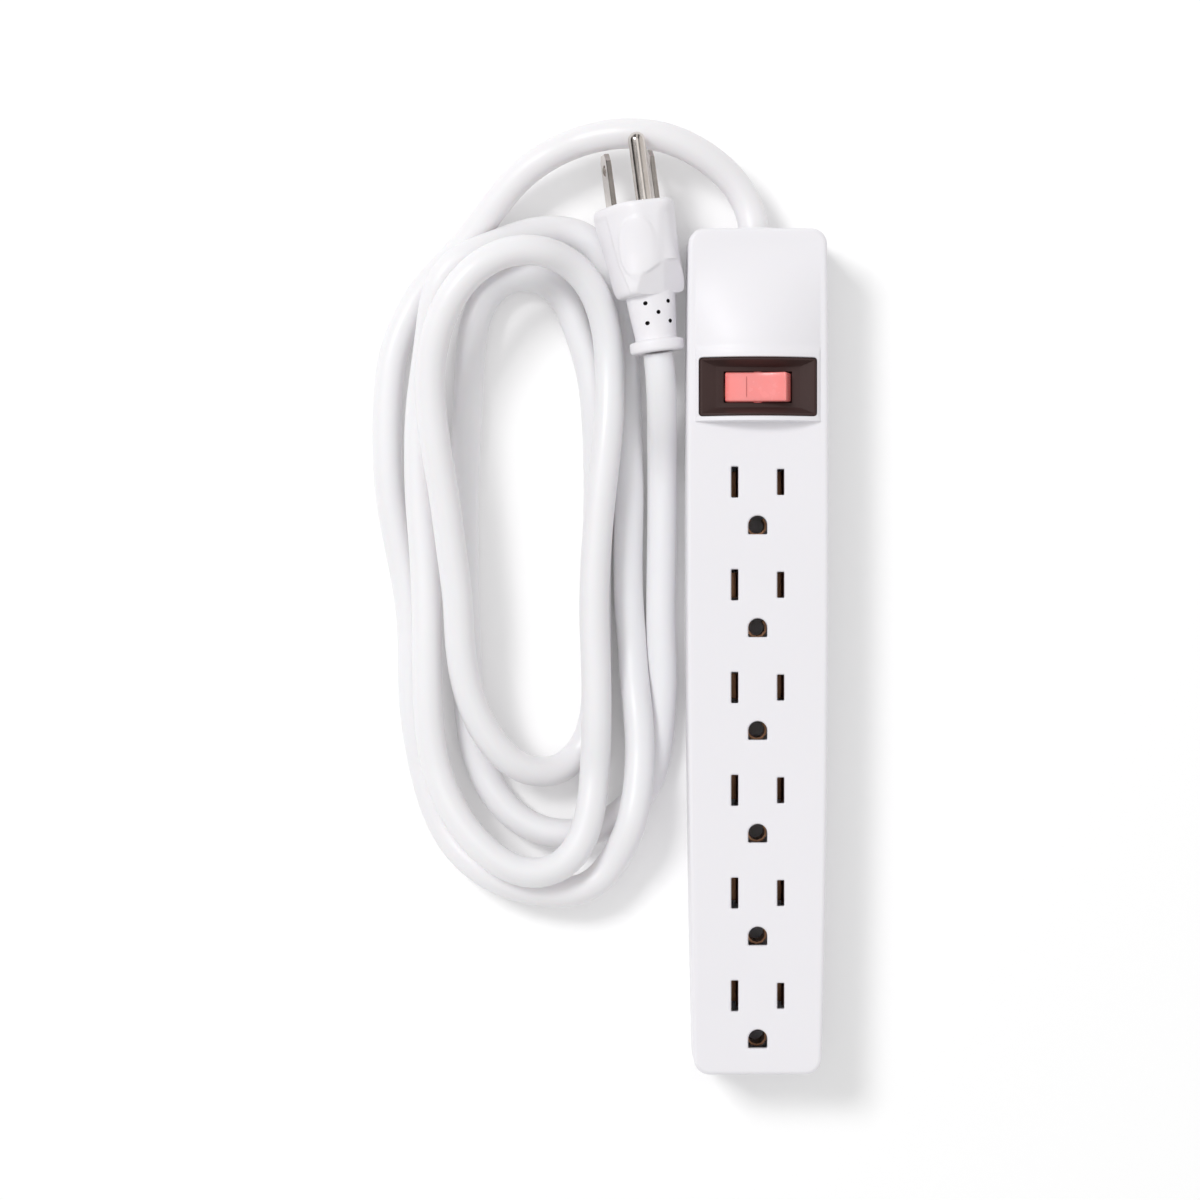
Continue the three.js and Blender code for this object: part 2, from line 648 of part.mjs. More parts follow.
function groundBus() {
  const cageYs = outletYs.map((y) => y - GROUND_OFFSET);
  const band = block(
    [-GROUND_BAND_X - SHEET / 2, cageYs[OUTLET_COUNT - 1] - 3, GROUND_BAND_FOOT_Z],
    [-GROUND_BAND_X + SHEET / 2, GROUND_BAND_TOP_Y, GROUND_BAND_FOOT_Z + BAND_HEIGHT],
  );
  const cage = groundCage();
  return join(band, ...cageYs.map((y) => cage.translate([0, y, 0])));
}

// ---------------------------------------------------------------- switch

// The bezel's arched face follows the collar; the box below it holds the rocker.
function switchFrame() {
  const rimZ = (x) => CASE_HEIGHT + hoodRise(x, HOOD_FRONT_Y) - SEAT_GAP;
  const bezel = warpedBlock([12, 1, 1], (u, v, w) => {
    const x = u * BEZEL_HALF_WIDTH;
    return [x, v * BEZEL_HALF_DEPTH, w < 0 ? BEZEL_FOOT_Z : rimZ(x)];
  });
  const funnel = warpedBlock([12, 1, 2], (u, v, w) => {
    if (w < 0) return [u * FUNNEL_HALF_WIDTH, v * FUNNEL_HALF_DEPTH, FUNNEL_FLOOR_Z];
    const x = u * (BEZEL_HALF_WIDTH - BEZEL_RIM);
    return [x, v * (BEZEL_HALF_DEPTH - BEZEL_RIM), w === 0 ? rimZ(x) : 2 * CASE_HEIGHT];
  });
  const box = block(
    [-CASE_BOX_HALF_WIDTH, -CASE_BOX_HALF_DEPTH, CASE_BOX_FOOT_Z],
    [CASE_BOX_HALF_WIDTH, CASE_BOX_HALF_DEPTH, BEZEL_FOOT_Z + 1],
  );
  const well = block(
    [-ROCKER_WELL_HALF_WIDTH, -ROCKER_WELL_HALF_DEPTH, 0],
    [ROCKER_WELL_HALF_WIDTH, ROCKER_WELL_HALF_DEPTH, 2 * CASE_HEIGHT],
  );
  const reach = ROCKER_HALF_WIDTH + TRUNNION_LENGTH + SEAT_GAP;
  const bearings = rod(TRUNNION_RADIUS + FINE_GAP, -reach, reach, 0, PIVOT_Z, 16);
  return cut(join(bezel, box), funnel, well, bearings).translate([0, SWITCH_Y, 0]);
}

// A terminal's leg through the switch's back plate.
function terminalLeg(x, topZ, grow = 0) {
  const halfX = TERMINAL_SHEET / 2 + grow;
  const halfY = TERMINAL_HALF_WIDTH + grow;
  return block([x - halfX, SWITCH_Y - halfY, TERMINAL_FOOT_Z], [x + halfX, SWITCH_Y + halfY, topZ]);
}

function switchBack() {
  const plate = block(
    [-CASE_BOX_HALF_WIDTH, SWITCH_Y - CASE_BOX_HALF_DEPTH, BACK_FOOT_Z],
    [CASE_BOX_HALF_WIDTH, SWITCH_Y + CASE_BOX_HALF_DEPTH, BACK_TOP_Z],
  );
  return cut(plate, ...[-SIDE_TERMINAL_X, 0, SIDE_TERMINAL_X].map((x) => terminalLeg(x, PAD_Z, SEAT_GAP)));
}

function terminalPad(x0, x1) {
  return block(
    [x0, SWITCH_Y - TERMINAL_HALF_WIDTH, PAD_Z],
    [x1, SWITCH_Y + TERMINAL_HALF_WIDTH, PAD_Z + TERMINAL_SHEET],
  );
}

function lineTerminal() {
  return join(
    terminalLeg(SIDE_TERMINAL_X, PAD_Z + TERMINAL_SHEET),
    terminalPad(ARM_CONTACT_X - 2, SIDE_TERMINAL_X + TERMINAL_SHEET / 2),
    post(RIVET_RADIUS, RIVET_HEIGHT + 0.1, [ARM_CONTACT_X, SWITCH_Y, PAD_Z + TERMINAL_SHEET - 0.1], 16),
  );
}

const loadTerminal = () => terminalLeg(0, ARM_Z - ARM_THICKNESS / 2 - SEAT_GAP);

function lampTerminal() {
  return join(
    terminalLeg(-SIDE_TERMINAL_X, PAD_Z + TERMINAL_SHEET),
    terminalPad(-SIDE_TERMINAL_X - TERMINAL_SHEET / 2, -ARM_CONTACT_X + 1),
  );
}

// The rocker in its own frame: pivot axis along Y through the origin.
function rocker() {
  const end = ROCKER_HALF_LENGTH;
  const shape = new THREE.Shape();
  shape.moveTo(-end, ROCKER_TOP);
  shape.quadraticCurveTo(0, ROCKER_TOP - 2 * ROCKER_DISH, end, ROCKER_TOP);
  shape.lineTo(end + 0.1, ROCKER_SKIRT);
  shape.lineTo(3, 2 * ROCKER_SKIRT);
  shape.lineTo(-3, 2 * ROCKER_SKIRT);
  shape.lineTo(-end - 0.1, ROCKER_SKIRT);
  const innerX = end - ROCKER_WALL;
  const innerY = ROCKER_HALF_WIDTH - ROCKER_WALL;
  const innerTop = ROCKER_TOP - ROCKER_DISH - ROCKER_WALL;
  const shell = cut(
    slab(shape, -ROCKER_HALF_WIDTH, ROCKER_HALF_WIDTH, 10),
    block([-innerX, -innerY, STEM_FOOT], [innerX, innerY, innerTop]),
  );
  const reach = ROCKER_HALF_WIDTH + TRUNNION_LENGTH;
  const trunnions = [
    rod(TRUNNION_RADIUS, innerY, reach, 0, 0, 16),
    rod(TRUNNION_RADIUS, -reach, -innerY, 0, 0, 16),
  ];
  const stem = post(STEM_RADIUS, innerTop + 1 - STEM_FOOT, [0, 0, STEM_FOOT], 16);
  const bore = post(PLUNGER_RADIUS + SEAT_GAP, STEM_BORE_TOP - STEM_FOOT + 1, [0, 0, STEM_FOOT - 1], 16);
  return cut(join(shell, stem, ...trunnions), bore);
}

// A round-nosed pin that presses on the contact arm.
function plunger() {
  const nose = PLUNGER_RADIUS - PLUNGER_REACH;
  const profile = new THREE.Path();
  profile.moveTo(0, nose - PLUNGER_RADIUS);
  profile.absarc(0, nose, PLUNGER_RADIUS, -Math.PI / 2, 0);
  profile.lineTo(PLUNGER_RADIUS, PLUNGER_TOP);
  profile.lineTo(0, PLUNGER_TOP);
  const lathe = new THREE.LatheGeometry(profile.getPoints(2), 10);
  return solid(lathe.rotateX(Math.PI / 2));
}

function plungerSpring() {
  const foot = PLUNGER_TOP + SEAT_GAP;
  const height = STEM_BORE_TOP - SEAT_GAP - foot;
  const pointsPerTurn = 6;
  const points = Array.from({ length: SPRING_TURNS * pointsPerTurn + 1 }, (_, i) => {
    const angle = (2 * Math.PI * i) / pointsPerTurn;
    const z = foot + (height * i) / (SPRING_TURNS * pointsPerTurn);
    return [SPRING_RADIUS * Math.cos(angle), SPRING_RADIUS * Math.sin(angle), z];
  });
  return tube(points, SPRING_WIRE_RADIUS, SPRING_TURNS * pointsPerTurn, 5);
}

const neonLamp = () => rod(LAMP.radius, -LAMP.halfLength, LAMP.halfLength, LAMP.x, LAMP.z, 16);

const lampResistor = () => rod(RESISTOR.radius, RESISTOR.y0, RESISTOR.y1, RESISTOR.x, RESISTOR.z);

// The rocking contact in its own frame, with its silver rivet under the +X end.
function contactArm() {
  const half = ARM_THICKNESS / 2;
  return join(
    block([-ARM_HALF_LENGTH, -ARM_HALF_WIDTH, -half], [ARM_HALF_LENGTH, ARM_HALF_WIDTH, half]),
    post(RIVET_RADIUS, RIVET_HEIGHT + 0.1, [ARM_CONTACT_X, 0, -half - RIVET_HEIGHT], 16),
  );
}

// ---------------------------------------------------------------- lead and wiring

// A ribbed sleeve that grips the end wall and tapers inwards round the lead.
function cordSleeve() {
  const wallY = CASE_LENGTH / 2;
  const bore = CORD_RADIUS + SEAT_GAP;
  const inner = wallY - WALL - SEAT_GAP;
  const outer = wallY + SEAT_GAP;
  return turned([
    [bore, CORD_END_Y + 1],
    [SLEEVE_TAIL_RADIUS - 0.5, CORD_END_Y + 1],
    [SLEEVE_NECK_RADIUS + 0.6, inner - 1.5],
    [SLEEVE_NECK_RADIUS + 1.2, inner - 1.5],
    [SLEEVE_NECK_RADIUS + 1.2, inner],
    [SLEEVE_NECK_RADIUS, inner],
    [SLEEVE_NECK_RADIUS, outer],
    [SLEEVE_NECK_RADIUS + 0.8, outer],
    [SLEEVE_NECK_RADIUS + 0.5, outer + 0.8],
    [bore, outer + 0.8],
    [bore, CORD_END_Y + 1],
  ]).translate([0, 0, CORD_EXIT_Z]);
}

function cordClamp() {
  const screwHoles = [-CLAMP_POST_X, CLAMP_POST_X].map((x) =>
    post(CLAMP_SCREW_RADIUS + FINE_GAP, CASE_HEIGHT, [x, CLAMP_Y, 0]),
  );
  return cut(
    block(
      [-CLAMP_HALF_WIDTH, CLAMP_Y - CLAMP_HALF_LENGTH, CLAMP_FOOT_Z],
      [CLAMP_HALF_WIDTH, CLAMP_Y + CLAMP_HALF_LENGTH, CLAMP_TOP_Z],
    ),
    cordGroove(),
    ...screwHoles,
  );
}

function clampScrew(x) {
  const headZ = CLAMP_TOP_Z + FINE_GAP;
  return join(
    post(CLAMP_HEAD_RADIUS, CLAMP_HEAD_HEIGHT, [x, CLAMP_Y, headZ]),
    post(CLAMP_SCREW_RADIUS, headZ - TERMINAL_FOOT_Z - 1, [x, CLAMP_Y, TERMINAL_FOOT_Z + 1.5]),
  );
}

// A closed smooth outline through the points.
function oval(points) {
  const curve = new THREE.CatmullRomCurve3(
    points.map(([x, y]) => new THREE.Vector3(x, y, 0)),
    true,
    "centripetal",
  );
  return polygon(curve.getPoints(4 * points.length).slice(0, -1).map(({ x, y }) => [x, y]));
}

// The route's last point moved on along its end, so that a cutter leaves a gap round the end face.
function extended(route, distance) {
  const end = new THREE.Vector3(...route.at(-1));
  const before = new THREE.Vector3(...route.at(-2));
  return [...route, end.addScaledVector(end.clone().sub(before).normalize(), distance).toArray()];
}

function cordCoil() {
  const [tailX, tailY] = TAIL_ROUTE[0];
  const tailRoom = block(
    [tailX - CORD_RADIUS - SEAT_GAP, tailY - SEAT_GAP, -1],
    [0, CASE_LENGTH, COIL_LAYER + SEAT_GAP],
  );
  return cut(
    join(
      prism(oval(COIL_FLOOR), 0, COIL_LAYER),
      prism(oval(COIL_UPPER), COIL_LAYER / 2, 2 * COIL_LAYER),
    ),
    prism(oval(COIL_HOLE), -1, 3 * COIL_LAYER),
    tube(extended(LEAD_ROUTE.slice(-5), SEAT_GAP), CORD_RADIUS + 2 * SEAT_GAP, 12, CORD_SIDES),
    tailRoom,
  );
}

// ---------------------------------------------------------------- plug

// The moulded body: rounded cross-sections that narrow towards the ground pin's side.
function plugBlank() {
  const sections = [...PLUG_SECTIONS].reverse();
  const geometry = new THREE.CylinderGeometry(1, 1, 1, 24, sections.length - 1);
  const position = geometry.getAttribute("position");
  for (let i = 0; i < position.count; i++) {
    const row = Math.round((position.getY(i) + 0.5) * (sections.length - 1));
    const [y, half, low, high, squareness] = sections[row];
    const radius = Math.hypot(position.getX(i), position.getZ(i));
    const angle = Math.atan2(position.getZ(i), position.getX(i));
    const soft = (value) => Math.sign(value) * Math.abs(value) ** (2 / squareness);
    const z = (low + high) / 2 + radius * soft(Math.sin(angle)) * ((high - low) / 2);
    const taper = y > PLUG_TAPER_END_Y ? 1 - PLUG_TAPER * z : 1;
    position.setXYZ(i, radius * soft(Math.cos(angle)) * half * taper, y, z);
  }
  return solid(geometry);
}

function bladeBlock(x, y0, y1, grow = 0) {
  const halfX = BLADE_THICKNESS / 2 + grow;
  const halfZ = BLADE_WIDTH / 2 + grow;
  return block([x - halfX, y0, -halfZ], [x + halfX, y1, halfZ]);
}

// The block behind the face that carries the two blades and the pin, grown by a clearance.
function bridgeBlock(grow) {
  const y0 = -PLUG_FACE_WALL - BRIDGE_LENGTH - grow;
  const y1 = -PLUG_FACE_WALL + grow;
  return join(
    block(
      [-BRIDGE_HALF_WIDTH - grow, y0, -BRIDGE_HALF_DEPTH - grow],
      [BRIDGE_HALF_WIDTH + grow, y1, BRIDGE_HALF_DEPTH + grow],
    ),
    block(
      [-BRIDGE_STEM_HALF_WIDTH - grow, y0, 0],
      [BRIDGE_STEM_HALF_WIDTH + grow, y1, GROUND_OFFSET + GROUND_PIN_RADIUS + 0.6 + grow],
    ),
  );
}

// What the two blades and the pin take up, grown by a clearance.
function contactRoom(grow) {
  const root = -PLUG_FACE_WALL - BRIDGE_LENGTH + 1 - grow;
  return join(
    bladeBlock(-BLADE_X, root, 1, grow),
    bladeBlock(BLADE_X, root, 1, grow),
    rod(GROUND_PIN_RADIUS + grow, root, 1, 0, GROUND_OFFSET, 16),
  );
}

const plugBody = () => cut(plugBlank(), bridgeBlock(SEAT_GAP), contactRoom(FINE_GAP));

const plugBridge = () => cut(bridgeBlock(0), contactRoom(FINE_GAP));

// A flat blade with a chamfered tip and, as usual, a small hole near it.
function blade() {
  const half = BLADE_WIDTH / 2;
  const root = -PLUG_FACE_WALL - BRIDGE_LENGTH + 1;
  const shape = polygon([
    [-half, root],
    [half, root],
    [half, BLADE_LENGTH - BLADE_TIP_LENGTH],
    [half - BLADE_TIP_CUT, BLADE_LENGTH],
    [BLADE_TIP_CUT - half, BLADE_LENGTH],
    [-half, BLADE_LENGTH - BLADE_TIP_LENGTH],
  ]);
  const holeY = BLADE_LENGTH - BLADE_HOLE_SETBACK;
  const hole = new THREE.Path().absarc(0, holeY, BLADE_HOLE_RADIUS, 0, 2 * Math.PI);
  shape.holes.push(hole);
  return prism(shape, -BLADE_THICKNESS / 2, BLADE_THICKNESS / 2, 8).rotate([0, 90, 0]);
}

function groundPin() {
  const root = -PLUG_FACE_WALL - BRIDGE_LENGTH + 1;
  const noseY = GROUND_PIN_LENGTH - GROUND_PIN_RADIUS;
  const profile = new THREE.Path();
  profile.moveTo(0, root);
  profile.lineTo(GROUND_PIN_RADIUS, root);
  profile.lineTo(GROUND_PIN_RADIUS, noseY);
  profile.absarc(0, noseY, GROUND_PIN_RADIUS, 0, Math.PI / 2);
  return solid(new THREE.LatheGeometry(profile.getPoints(3), 16));
}

// ---------------------------------------------------------------- assembly

const FINISHES = {
  white_shell: { color: 0xf0eef3, roughness: 0.45, metalness: 0 },
  white_lead: { color: 0xefeef3, roughness: 0.4, metalness: 0 },
  black_moulding: { color: 0x433230, roughness: 0.5, metalness: 0 },
  red_lens: { color: 0xfc9491, roughness: 0.3, metalness: 0, transparent: true, opacity: 0.85 },
  brass: { color: 0xb8894a, roughness: 0.35, metalness: 1 },
  nickel: { color: 0xc9c6c2, roughness: 0.2, metalness: 1 },
  steel: { color: 0x9a9a9c, roughness: 0.35, metalness: 1 },
  lamp_glass: { color: 0xf2d2b8, roughness: 0.1, metalness: 0 },
  ceramic: { color: 0xc8a878, roughness: 0.6, metalness: 0 },
  black_wire: { color: 0x1c1c1e, roughness: 0.5, metalness: 0 },
  white_wire: { color: 0xe8e8e4, roughness: 0.5, metalness: 0 },
  green_wire: { color: 0x2f7d46, roughness: 0.5, metalness: 0 },
};
const materials = Object.fromEntries(
  Object.entries(FINISHES).map(([name, look]) => [name, new THREE.MeshStandardMaterial({ name, ...look })]),
);

function part(name, finish, made) {
  const mesh = new THREE.Mesh(geometryOf(made), materials[finish]);
  mesh.name = name;
  return mesh;
}

const strip = new THREE.Group();
strip.name = "power_strip";

const caseGroup = new THREE.Group();
caseGroup.add(part("base_cover", "white_shell", baseCover()), part("top_cover", "white_shell", topCover()));
screwPlaces.forEach((place, i) => caseGroup.add(part(`case_screw_${i + 1}`, "steel", caseScrew(place))));

const contactGroup = new THREE.Group();
contactGroup.add(
  part("hot_bus", "brass", bladeBus()),
  part("neutral_bus", "brass", bladeBus().mirror([1, 0, 0])),
  part("ground_bus", "brass", groundBus()),
);

const rockerGroup = new THREE.Group();
rockerGroup.position.set(0, SWITCH_Y, PIVOT_Z);
rockerGroup.rotation.y = radians(-ROCKER_TILT);
rockerGroup.add(
  part("rocker", "red_lens", rocker()),
  part("neon_lamp", "lamp_glass", neonLamp()),
  part("plunger", "black_moulding", plunger()),
  part("plunger_spring", "steel", plungerSpring()),
);

const armGroup = new THREE.Group();
armGroup.position.set(0, SWITCH_Y, ARM_Z);
armGroup.rotation.y = radians(ARM_TILT);
armGroup.add(part("contact_arm", "brass", contactArm()));

const switchGroup = new THREE.Group();
switchGroup.add(
  part("switch_frame", "black_moulding", switchFrame()),
  part("switch_back", "black_moulding", switchBack()),
  part("line_terminal", "brass", lineTerminal()),
  part("load_terminal", "brass", loadTerminal()),
  part("lamp_terminal", "brass", lampTerminal()),
  part("lamp_resistor", "ceramic", lampResistor()),
  rockerGroup,
  armGroup,
);

const leadGroup = new THREE.Group();
leadGroup.add(
  part("cord_sleeve", "white_lead", cordSleeve()),
  part("cord_clamp", "white_shell", cordClamp()),
  part("clamp_screw_1", "steel", clampScrew(-CLAMP_POST_X)),
  part("clamp_screw_2", "steel", clampScrew(CLAMP_POST_X)),
  part("line_wire", "black_wire", tube(WIRE_ROUTES.line_wire, WIRE_RADIUS, 14)),
  part("neutral_wire", "white_wire", tube(WIRE_ROUTES.neutral_wire, WIRE_RADIUS, 18)),
  part("ground_wire", "green_wire", tube(WIRE_ROUTES.ground_wire, WIRE_RADIUS, 22)),
  part("load_wire", "black_wire", tube(WIRE_ROUTES.load_wire, WIRE_RADIUS, 12)),
  part("cord_lead", "white_lead", tube(LEAD_ROUTE, CORD_RADIUS, 24, CORD_SIDES)),
  part("cord_coil", "white_lead", cordCoil()),
  part("cord_tail", "white_lead", tube(TAIL_ROUTE, CORD_RADIUS, 16, CORD_SIDES)),
);

const plugGroup = new THREE.Group();
plugGroup.position.set(...PLUG_PLACE);
plugGroup.rotation.set(0, radians(PLUG_ROLL), radians(PLUG_LEAN), "ZYX");
plugGroup.add(
  part("plug_body", "white_lead", plugBody()),
  part("plug_bridge", "black_moulding", plugBridge()),
  part("neutral_blade", "nickel", blade().translate([-BLADE_X, 0, 0])),
  part("hot_blade", "nickel", blade().translate([BLADE_X, 0, 0])),
  part("ground_pin", "nickel", groundPin().translate([0, 0, GROUND_OFFSET])),
);

strip.add(caseGroup, contactGroup, switchGroup, leadGroup, plugGroup);

export default strip;
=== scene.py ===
# Power strip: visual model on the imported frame. The object's lengths and places are in millimetres,
# and every mesh is scaled to metres when it is made. The stage, the lights and the materials' grain
# are in metres.
import json
import math

import bmesh
import bpy
import numpy as np
from mathutils import Matrix, Vector
from mathutils.geometry import delaunay_2d_cdt


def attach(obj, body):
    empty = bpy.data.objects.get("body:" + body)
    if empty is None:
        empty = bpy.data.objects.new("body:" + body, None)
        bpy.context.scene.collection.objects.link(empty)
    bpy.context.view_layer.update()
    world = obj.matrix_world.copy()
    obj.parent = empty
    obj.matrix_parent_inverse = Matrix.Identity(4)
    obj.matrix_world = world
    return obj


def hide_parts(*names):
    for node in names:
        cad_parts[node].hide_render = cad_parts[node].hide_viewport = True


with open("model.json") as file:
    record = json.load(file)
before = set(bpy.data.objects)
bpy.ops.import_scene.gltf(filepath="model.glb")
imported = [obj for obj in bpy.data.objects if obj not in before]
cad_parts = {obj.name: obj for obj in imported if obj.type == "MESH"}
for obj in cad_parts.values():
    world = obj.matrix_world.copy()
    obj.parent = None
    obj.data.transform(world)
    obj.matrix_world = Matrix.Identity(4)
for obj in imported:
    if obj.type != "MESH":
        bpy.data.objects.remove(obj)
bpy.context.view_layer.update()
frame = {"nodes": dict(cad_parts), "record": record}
MM = 0.001


# ---------------- camera, floor and light

CAMERA = (-0.0436, 0.0142, 1.0)
FOCAL_LENGTH = 105.7
FLOOR_HALF = 3.0
FLOOR_DROP = 0.0001
LIGHT_AIM = (-0.03, 0.0, 0.0)
ROOM_LEVEL = 0.60
BAND_LEVEL = 0.85
BAND_TINT = (1.0, 0.97, 0.94)
# What shines sees soft boxes and dark gaps in turn, across the room from -X (0) to +X (1).
BANDS = [
    (0.0, 0.03), (0.06, 0.05), (0.1, 0.6), (0.22, 0.5), (0.27, 0.05), (0.41, 0.04),
    (0.45, 1.0), (0.57, 1.0), (0.63, 0.04), (0.72, 0.06), (0.78, 1.0), (0.94, 1.0),
]


def put(node, **values):
    """Sets a node's inputs by their names, with _ for a space."""
    for name, value in values.items():
        node.inputs[name.replace("_", " ")].default_value = value


def set_stops(ramp, stops):
    while len(ramp.elements) < len(stops):
        ramp.elements.new(0.5)
    for element, (position, colour) in zip(ramp.elements, stops):
        element.position = position
        element.color = (*colour, 1)


def make_camera():
    data = bpy.data.cameras.new("camera")
    data.lens = FOCAL_LENGTH
    data.sensor_width = 36
    data.clip_start = 0.05
    data.clip_end = 20
    camera = bpy.data.objects.new("camera", data)
    camera.location = CAMERA
    bpy.context.scene.collection.objects.link(camera)
    bpy.context.scene.camera = camera


def area_light(name, place, size, power):
    """A square soft box that points at the object's middle."""
    data = bpy.data.lights.new(name, "AREA")
    data.size = size
    data.energy = power
    light = bpy.data.objects.new(name, data)
    light.location = place
    aim = Vector(LIGHT_AIM) - Vector(place)
    light.rotation_euler = aim.to_track_quat("-Z", "Y").to_euler()
    bpy.context.scene.collection.objects.link(light)


def make_floor():
    mesh = bpy.data.meshes.new("floor")
    corners = [(-1, -1), (1, -1), (1, 1), (-1, 1)]
    places = [(x * FLOOR_HALF, y * FLOOR_HALF, -FLOOR_DROP) for x, y in corners]
    mesh.from_pydata(places, [], [(0, 1, 2, 3)])
    floor = bpy.data.objects.new("floor", mesh)
    bpy.context.scene.collection.objects.link(floor)
    material = bpy.data.materials.new("floor")
    material.use_nodes = True
    put(
        material.node_tree.nodes["Principled BSDF"],
        Base_Color=(0.985, 0.985, 0.985, 1), Roughness=0.9, Specular_IOR_Level=0.1,
        Emission_Color=(1, 1, 1, 1), Emission_Strength=0.05,
    )
    mesh.materials.append(material)


def make_world():
    """An even white room; what shines in it also sees the dark gaps between its soft boxes."""
    world = bpy.data.worlds.new("studio")
    bpy.context.scene.world = world
    world.use_nodes = True
    tree = world.node_tree
    add, link = tree.nodes.new, tree.links.new
    even = tree.nodes["Background"]
    put(even, Color=(1, 1, 1, 1), Strength=ROOM_LEVEL)
    banded = add("ShaderNodeBackground")
    put(banded, Strength=BAND_LEVEL)
    bands = add("ShaderNodeValToRGB")
    set_stops(bands.color_ramp, [(at, [level * tint for tint in BAND_TINT]) for at, level in BANDS])
    split = add("ShaderNodeSeparateXYZ")
    across = add("ShaderNodeMapRange")
    put(across, From_Min=-1, From_Max=1)
    mix = add("ShaderNodeMixShader")
    link(add("ShaderNodeTexCoord").outputs["Generated"], split.inputs["Vector"])
    link(split.outputs["X"], across.inputs["Value"])
    link(across.outputs["Result"], bands.inputs["Fac"])
    link(bands.outputs["Color"], banded.inputs["Color"])
    link(add("ShaderNodeLightPath").outputs["Is Glossy Ray"], mix.inputs["Fac"])
    link(even.outputs["Background"], mix.inputs[1])
    link(banded.outputs["Background"], mix.inputs[2])
    link(mix.outputs["Shader"], tree.nodes["World Output"].inputs["Surface"])


make_camera()
make_floor()
make_world()
area_light("key", place=(-1.5, 1.22, 2.6), size=0.85, power=40)
area_light("top", place=(0.0, 0.0, 2.8), size=2.2, power=7.5)
bpy.context.scene.view_settings.view_transform = "Standard"
bpy.context.scene.view_settings.look = "None"


# ---------------- materials


class Nodes:
    """Short names for the nodes of one material."""

    def __init__(self, name):
        self.material = bpy.data.materials.new(name)
        self.material.use_nodes = True
        self.tree = self.material.node_tree
        self.shader = self.tree.nodes["Principled BSDF"]
        self.place = self.add("ShaderNodeTexCoord").outputs["Object"]

    def add(self, kind):
        return self.tree.nodes.new(kind)

    def link(self, source, target):
        self.tree.links.new(source, target)

    def noise(self, scale, detail=3.0, roughness=0.55, stretch=None):
        node = self.add("ShaderNodeTexNoise")
        put(node, Scale=scale, Detail=detail, Roughness=roughness)
        source = self.place
        if stretch:
            mapping = self.add("ShaderNodeMapping")
            put(mapping, Scale=stretch)
            self.link(self.place, mapping.inputs["Vector"])
            source = mapping.outputs["Vector"]
        self.link(source, node.inputs["Vector"])
        return node.outputs["Fac"]

    def ramp(self, value, stops):
        node = self.add("ShaderNodeValToRGB")
        set_stops(node.color_ramp, stops)
        self.link(value, node.inputs["Fac"])
        return node.outputs["Color"]

    def spread(self, value, low, high):
        """value, which runs from 0.3 to 0.7, as low to high."""
        node = self.add("ShaderNodeMapRange")
        put(node, From_Min=0.3, From_Max=0.7, To_Min=low, To_Max=high)
        self.link(value, node.inputs["Value"])
        return node.outputs["Result"]

    def bump(self, height, strength, distance, before=None):
        node = self.add("ShaderNodeBump")
        put(node, Strength=strength, Distance=distance)
        self.link(height, node.inputs["Height"])
        if before:
            self.link(before, node.inputs["Normal"])
        return node.outputs["Normal"]

    def set(self, **values):
        names = {
            "colour": "Base Color", "roughness": "Roughness", "metallic": "Metallic",
            "specular": "Specular IOR Level", "coat": "Coat Weight",
            "coat_roughness": "Coat Roughness", "subsurface": "Subsurface Weight",
            "transmission": "Transmission Weight", "emission": "Emission Color",
            "glow": "Emission Strength", "ior": "IOR", "normal": "Normal",
        }
        for key, value in values.items():
            socket = self.shader.inputs[names[key]]
            if isinstance(value, bpy.types.NodeSocket):
                self.link(value, socket)
            elif isinstance(value, tuple):
                socket.default_value = (*value, 1)
            else:
                socket.default_value = value
        return self.material


def plastic(name, colour, darker, roughness, grain, depth, subsurface=0.0, specular=0.45):
    """Moulded plastic: a slow tint change, a fine moulded grain and a patchy gloss."""
    n = Nodes(name)
    tint = n.ramp(n.noise(9, 4), [(0.32, darker), (0.62, colour)])
    fine = n.noise(grain, 2, 0.6)
    slow = n.noise(38, 3)
    put(n.shader, Subsurface_Radius=(0.003, 0.0025, 0.002), Subsurface_Scale=0.6)
    return n.set(
        colour=tint,
        roughness=n.spread(slow, roughness - 0.05, roughness + 0.06),
        normal=n.bump(fine, depth, 0.00006, n.bump(slow, 0.12, 0.0001)),
        specular=specular,
        subsurface=subsurface,
    )


def metal(name, colour, darker, roughness, stretch, scratch=0.25):
    """Rolled or turned metal with faint lines along one direction, and a slight tarnish."""
    n = Nodes(name)
    lines = n.noise(900, 3, 0.65, stretch)
    tarnish = n.noise(120, 4)
    return n.set(
        colour=n.ramp(tarnish, [(0.3, darker), (0.6, colour)]),
        metallic=1.0,
        roughness=n.spread(lines, roughness - 0.06, roughness + 0.08),
        normal=n.bump(lines, scratch, 0.00002),
    )


def cord_jacket():
    """White vinyl: softly glossy, faintly wavy from its laid-up cores, with a fine skin."""
    n = Nodes("vinyl_jacket")
    tint = n.ramp(n.noise(26, 4), [(0.3, (0.872, 0.856, 0.872)), (0.65, (0.892, 0.876, 0.892))])
    waves = n.noise(95, 2, 0.5)
    skin = n.noise(1400, 2, 0.6)
    return n.set(
        colour=tint,
        roughness=n.spread(n.noise(60, 3), 0.33, 0.45),
        normal=n.bump(skin, 0.1, 0.00004, n.bump(waves, 0.18, 0.00035)),
        specular=0.5,
        subsurface=0.06,
    )


LENS_REACH = 0.009


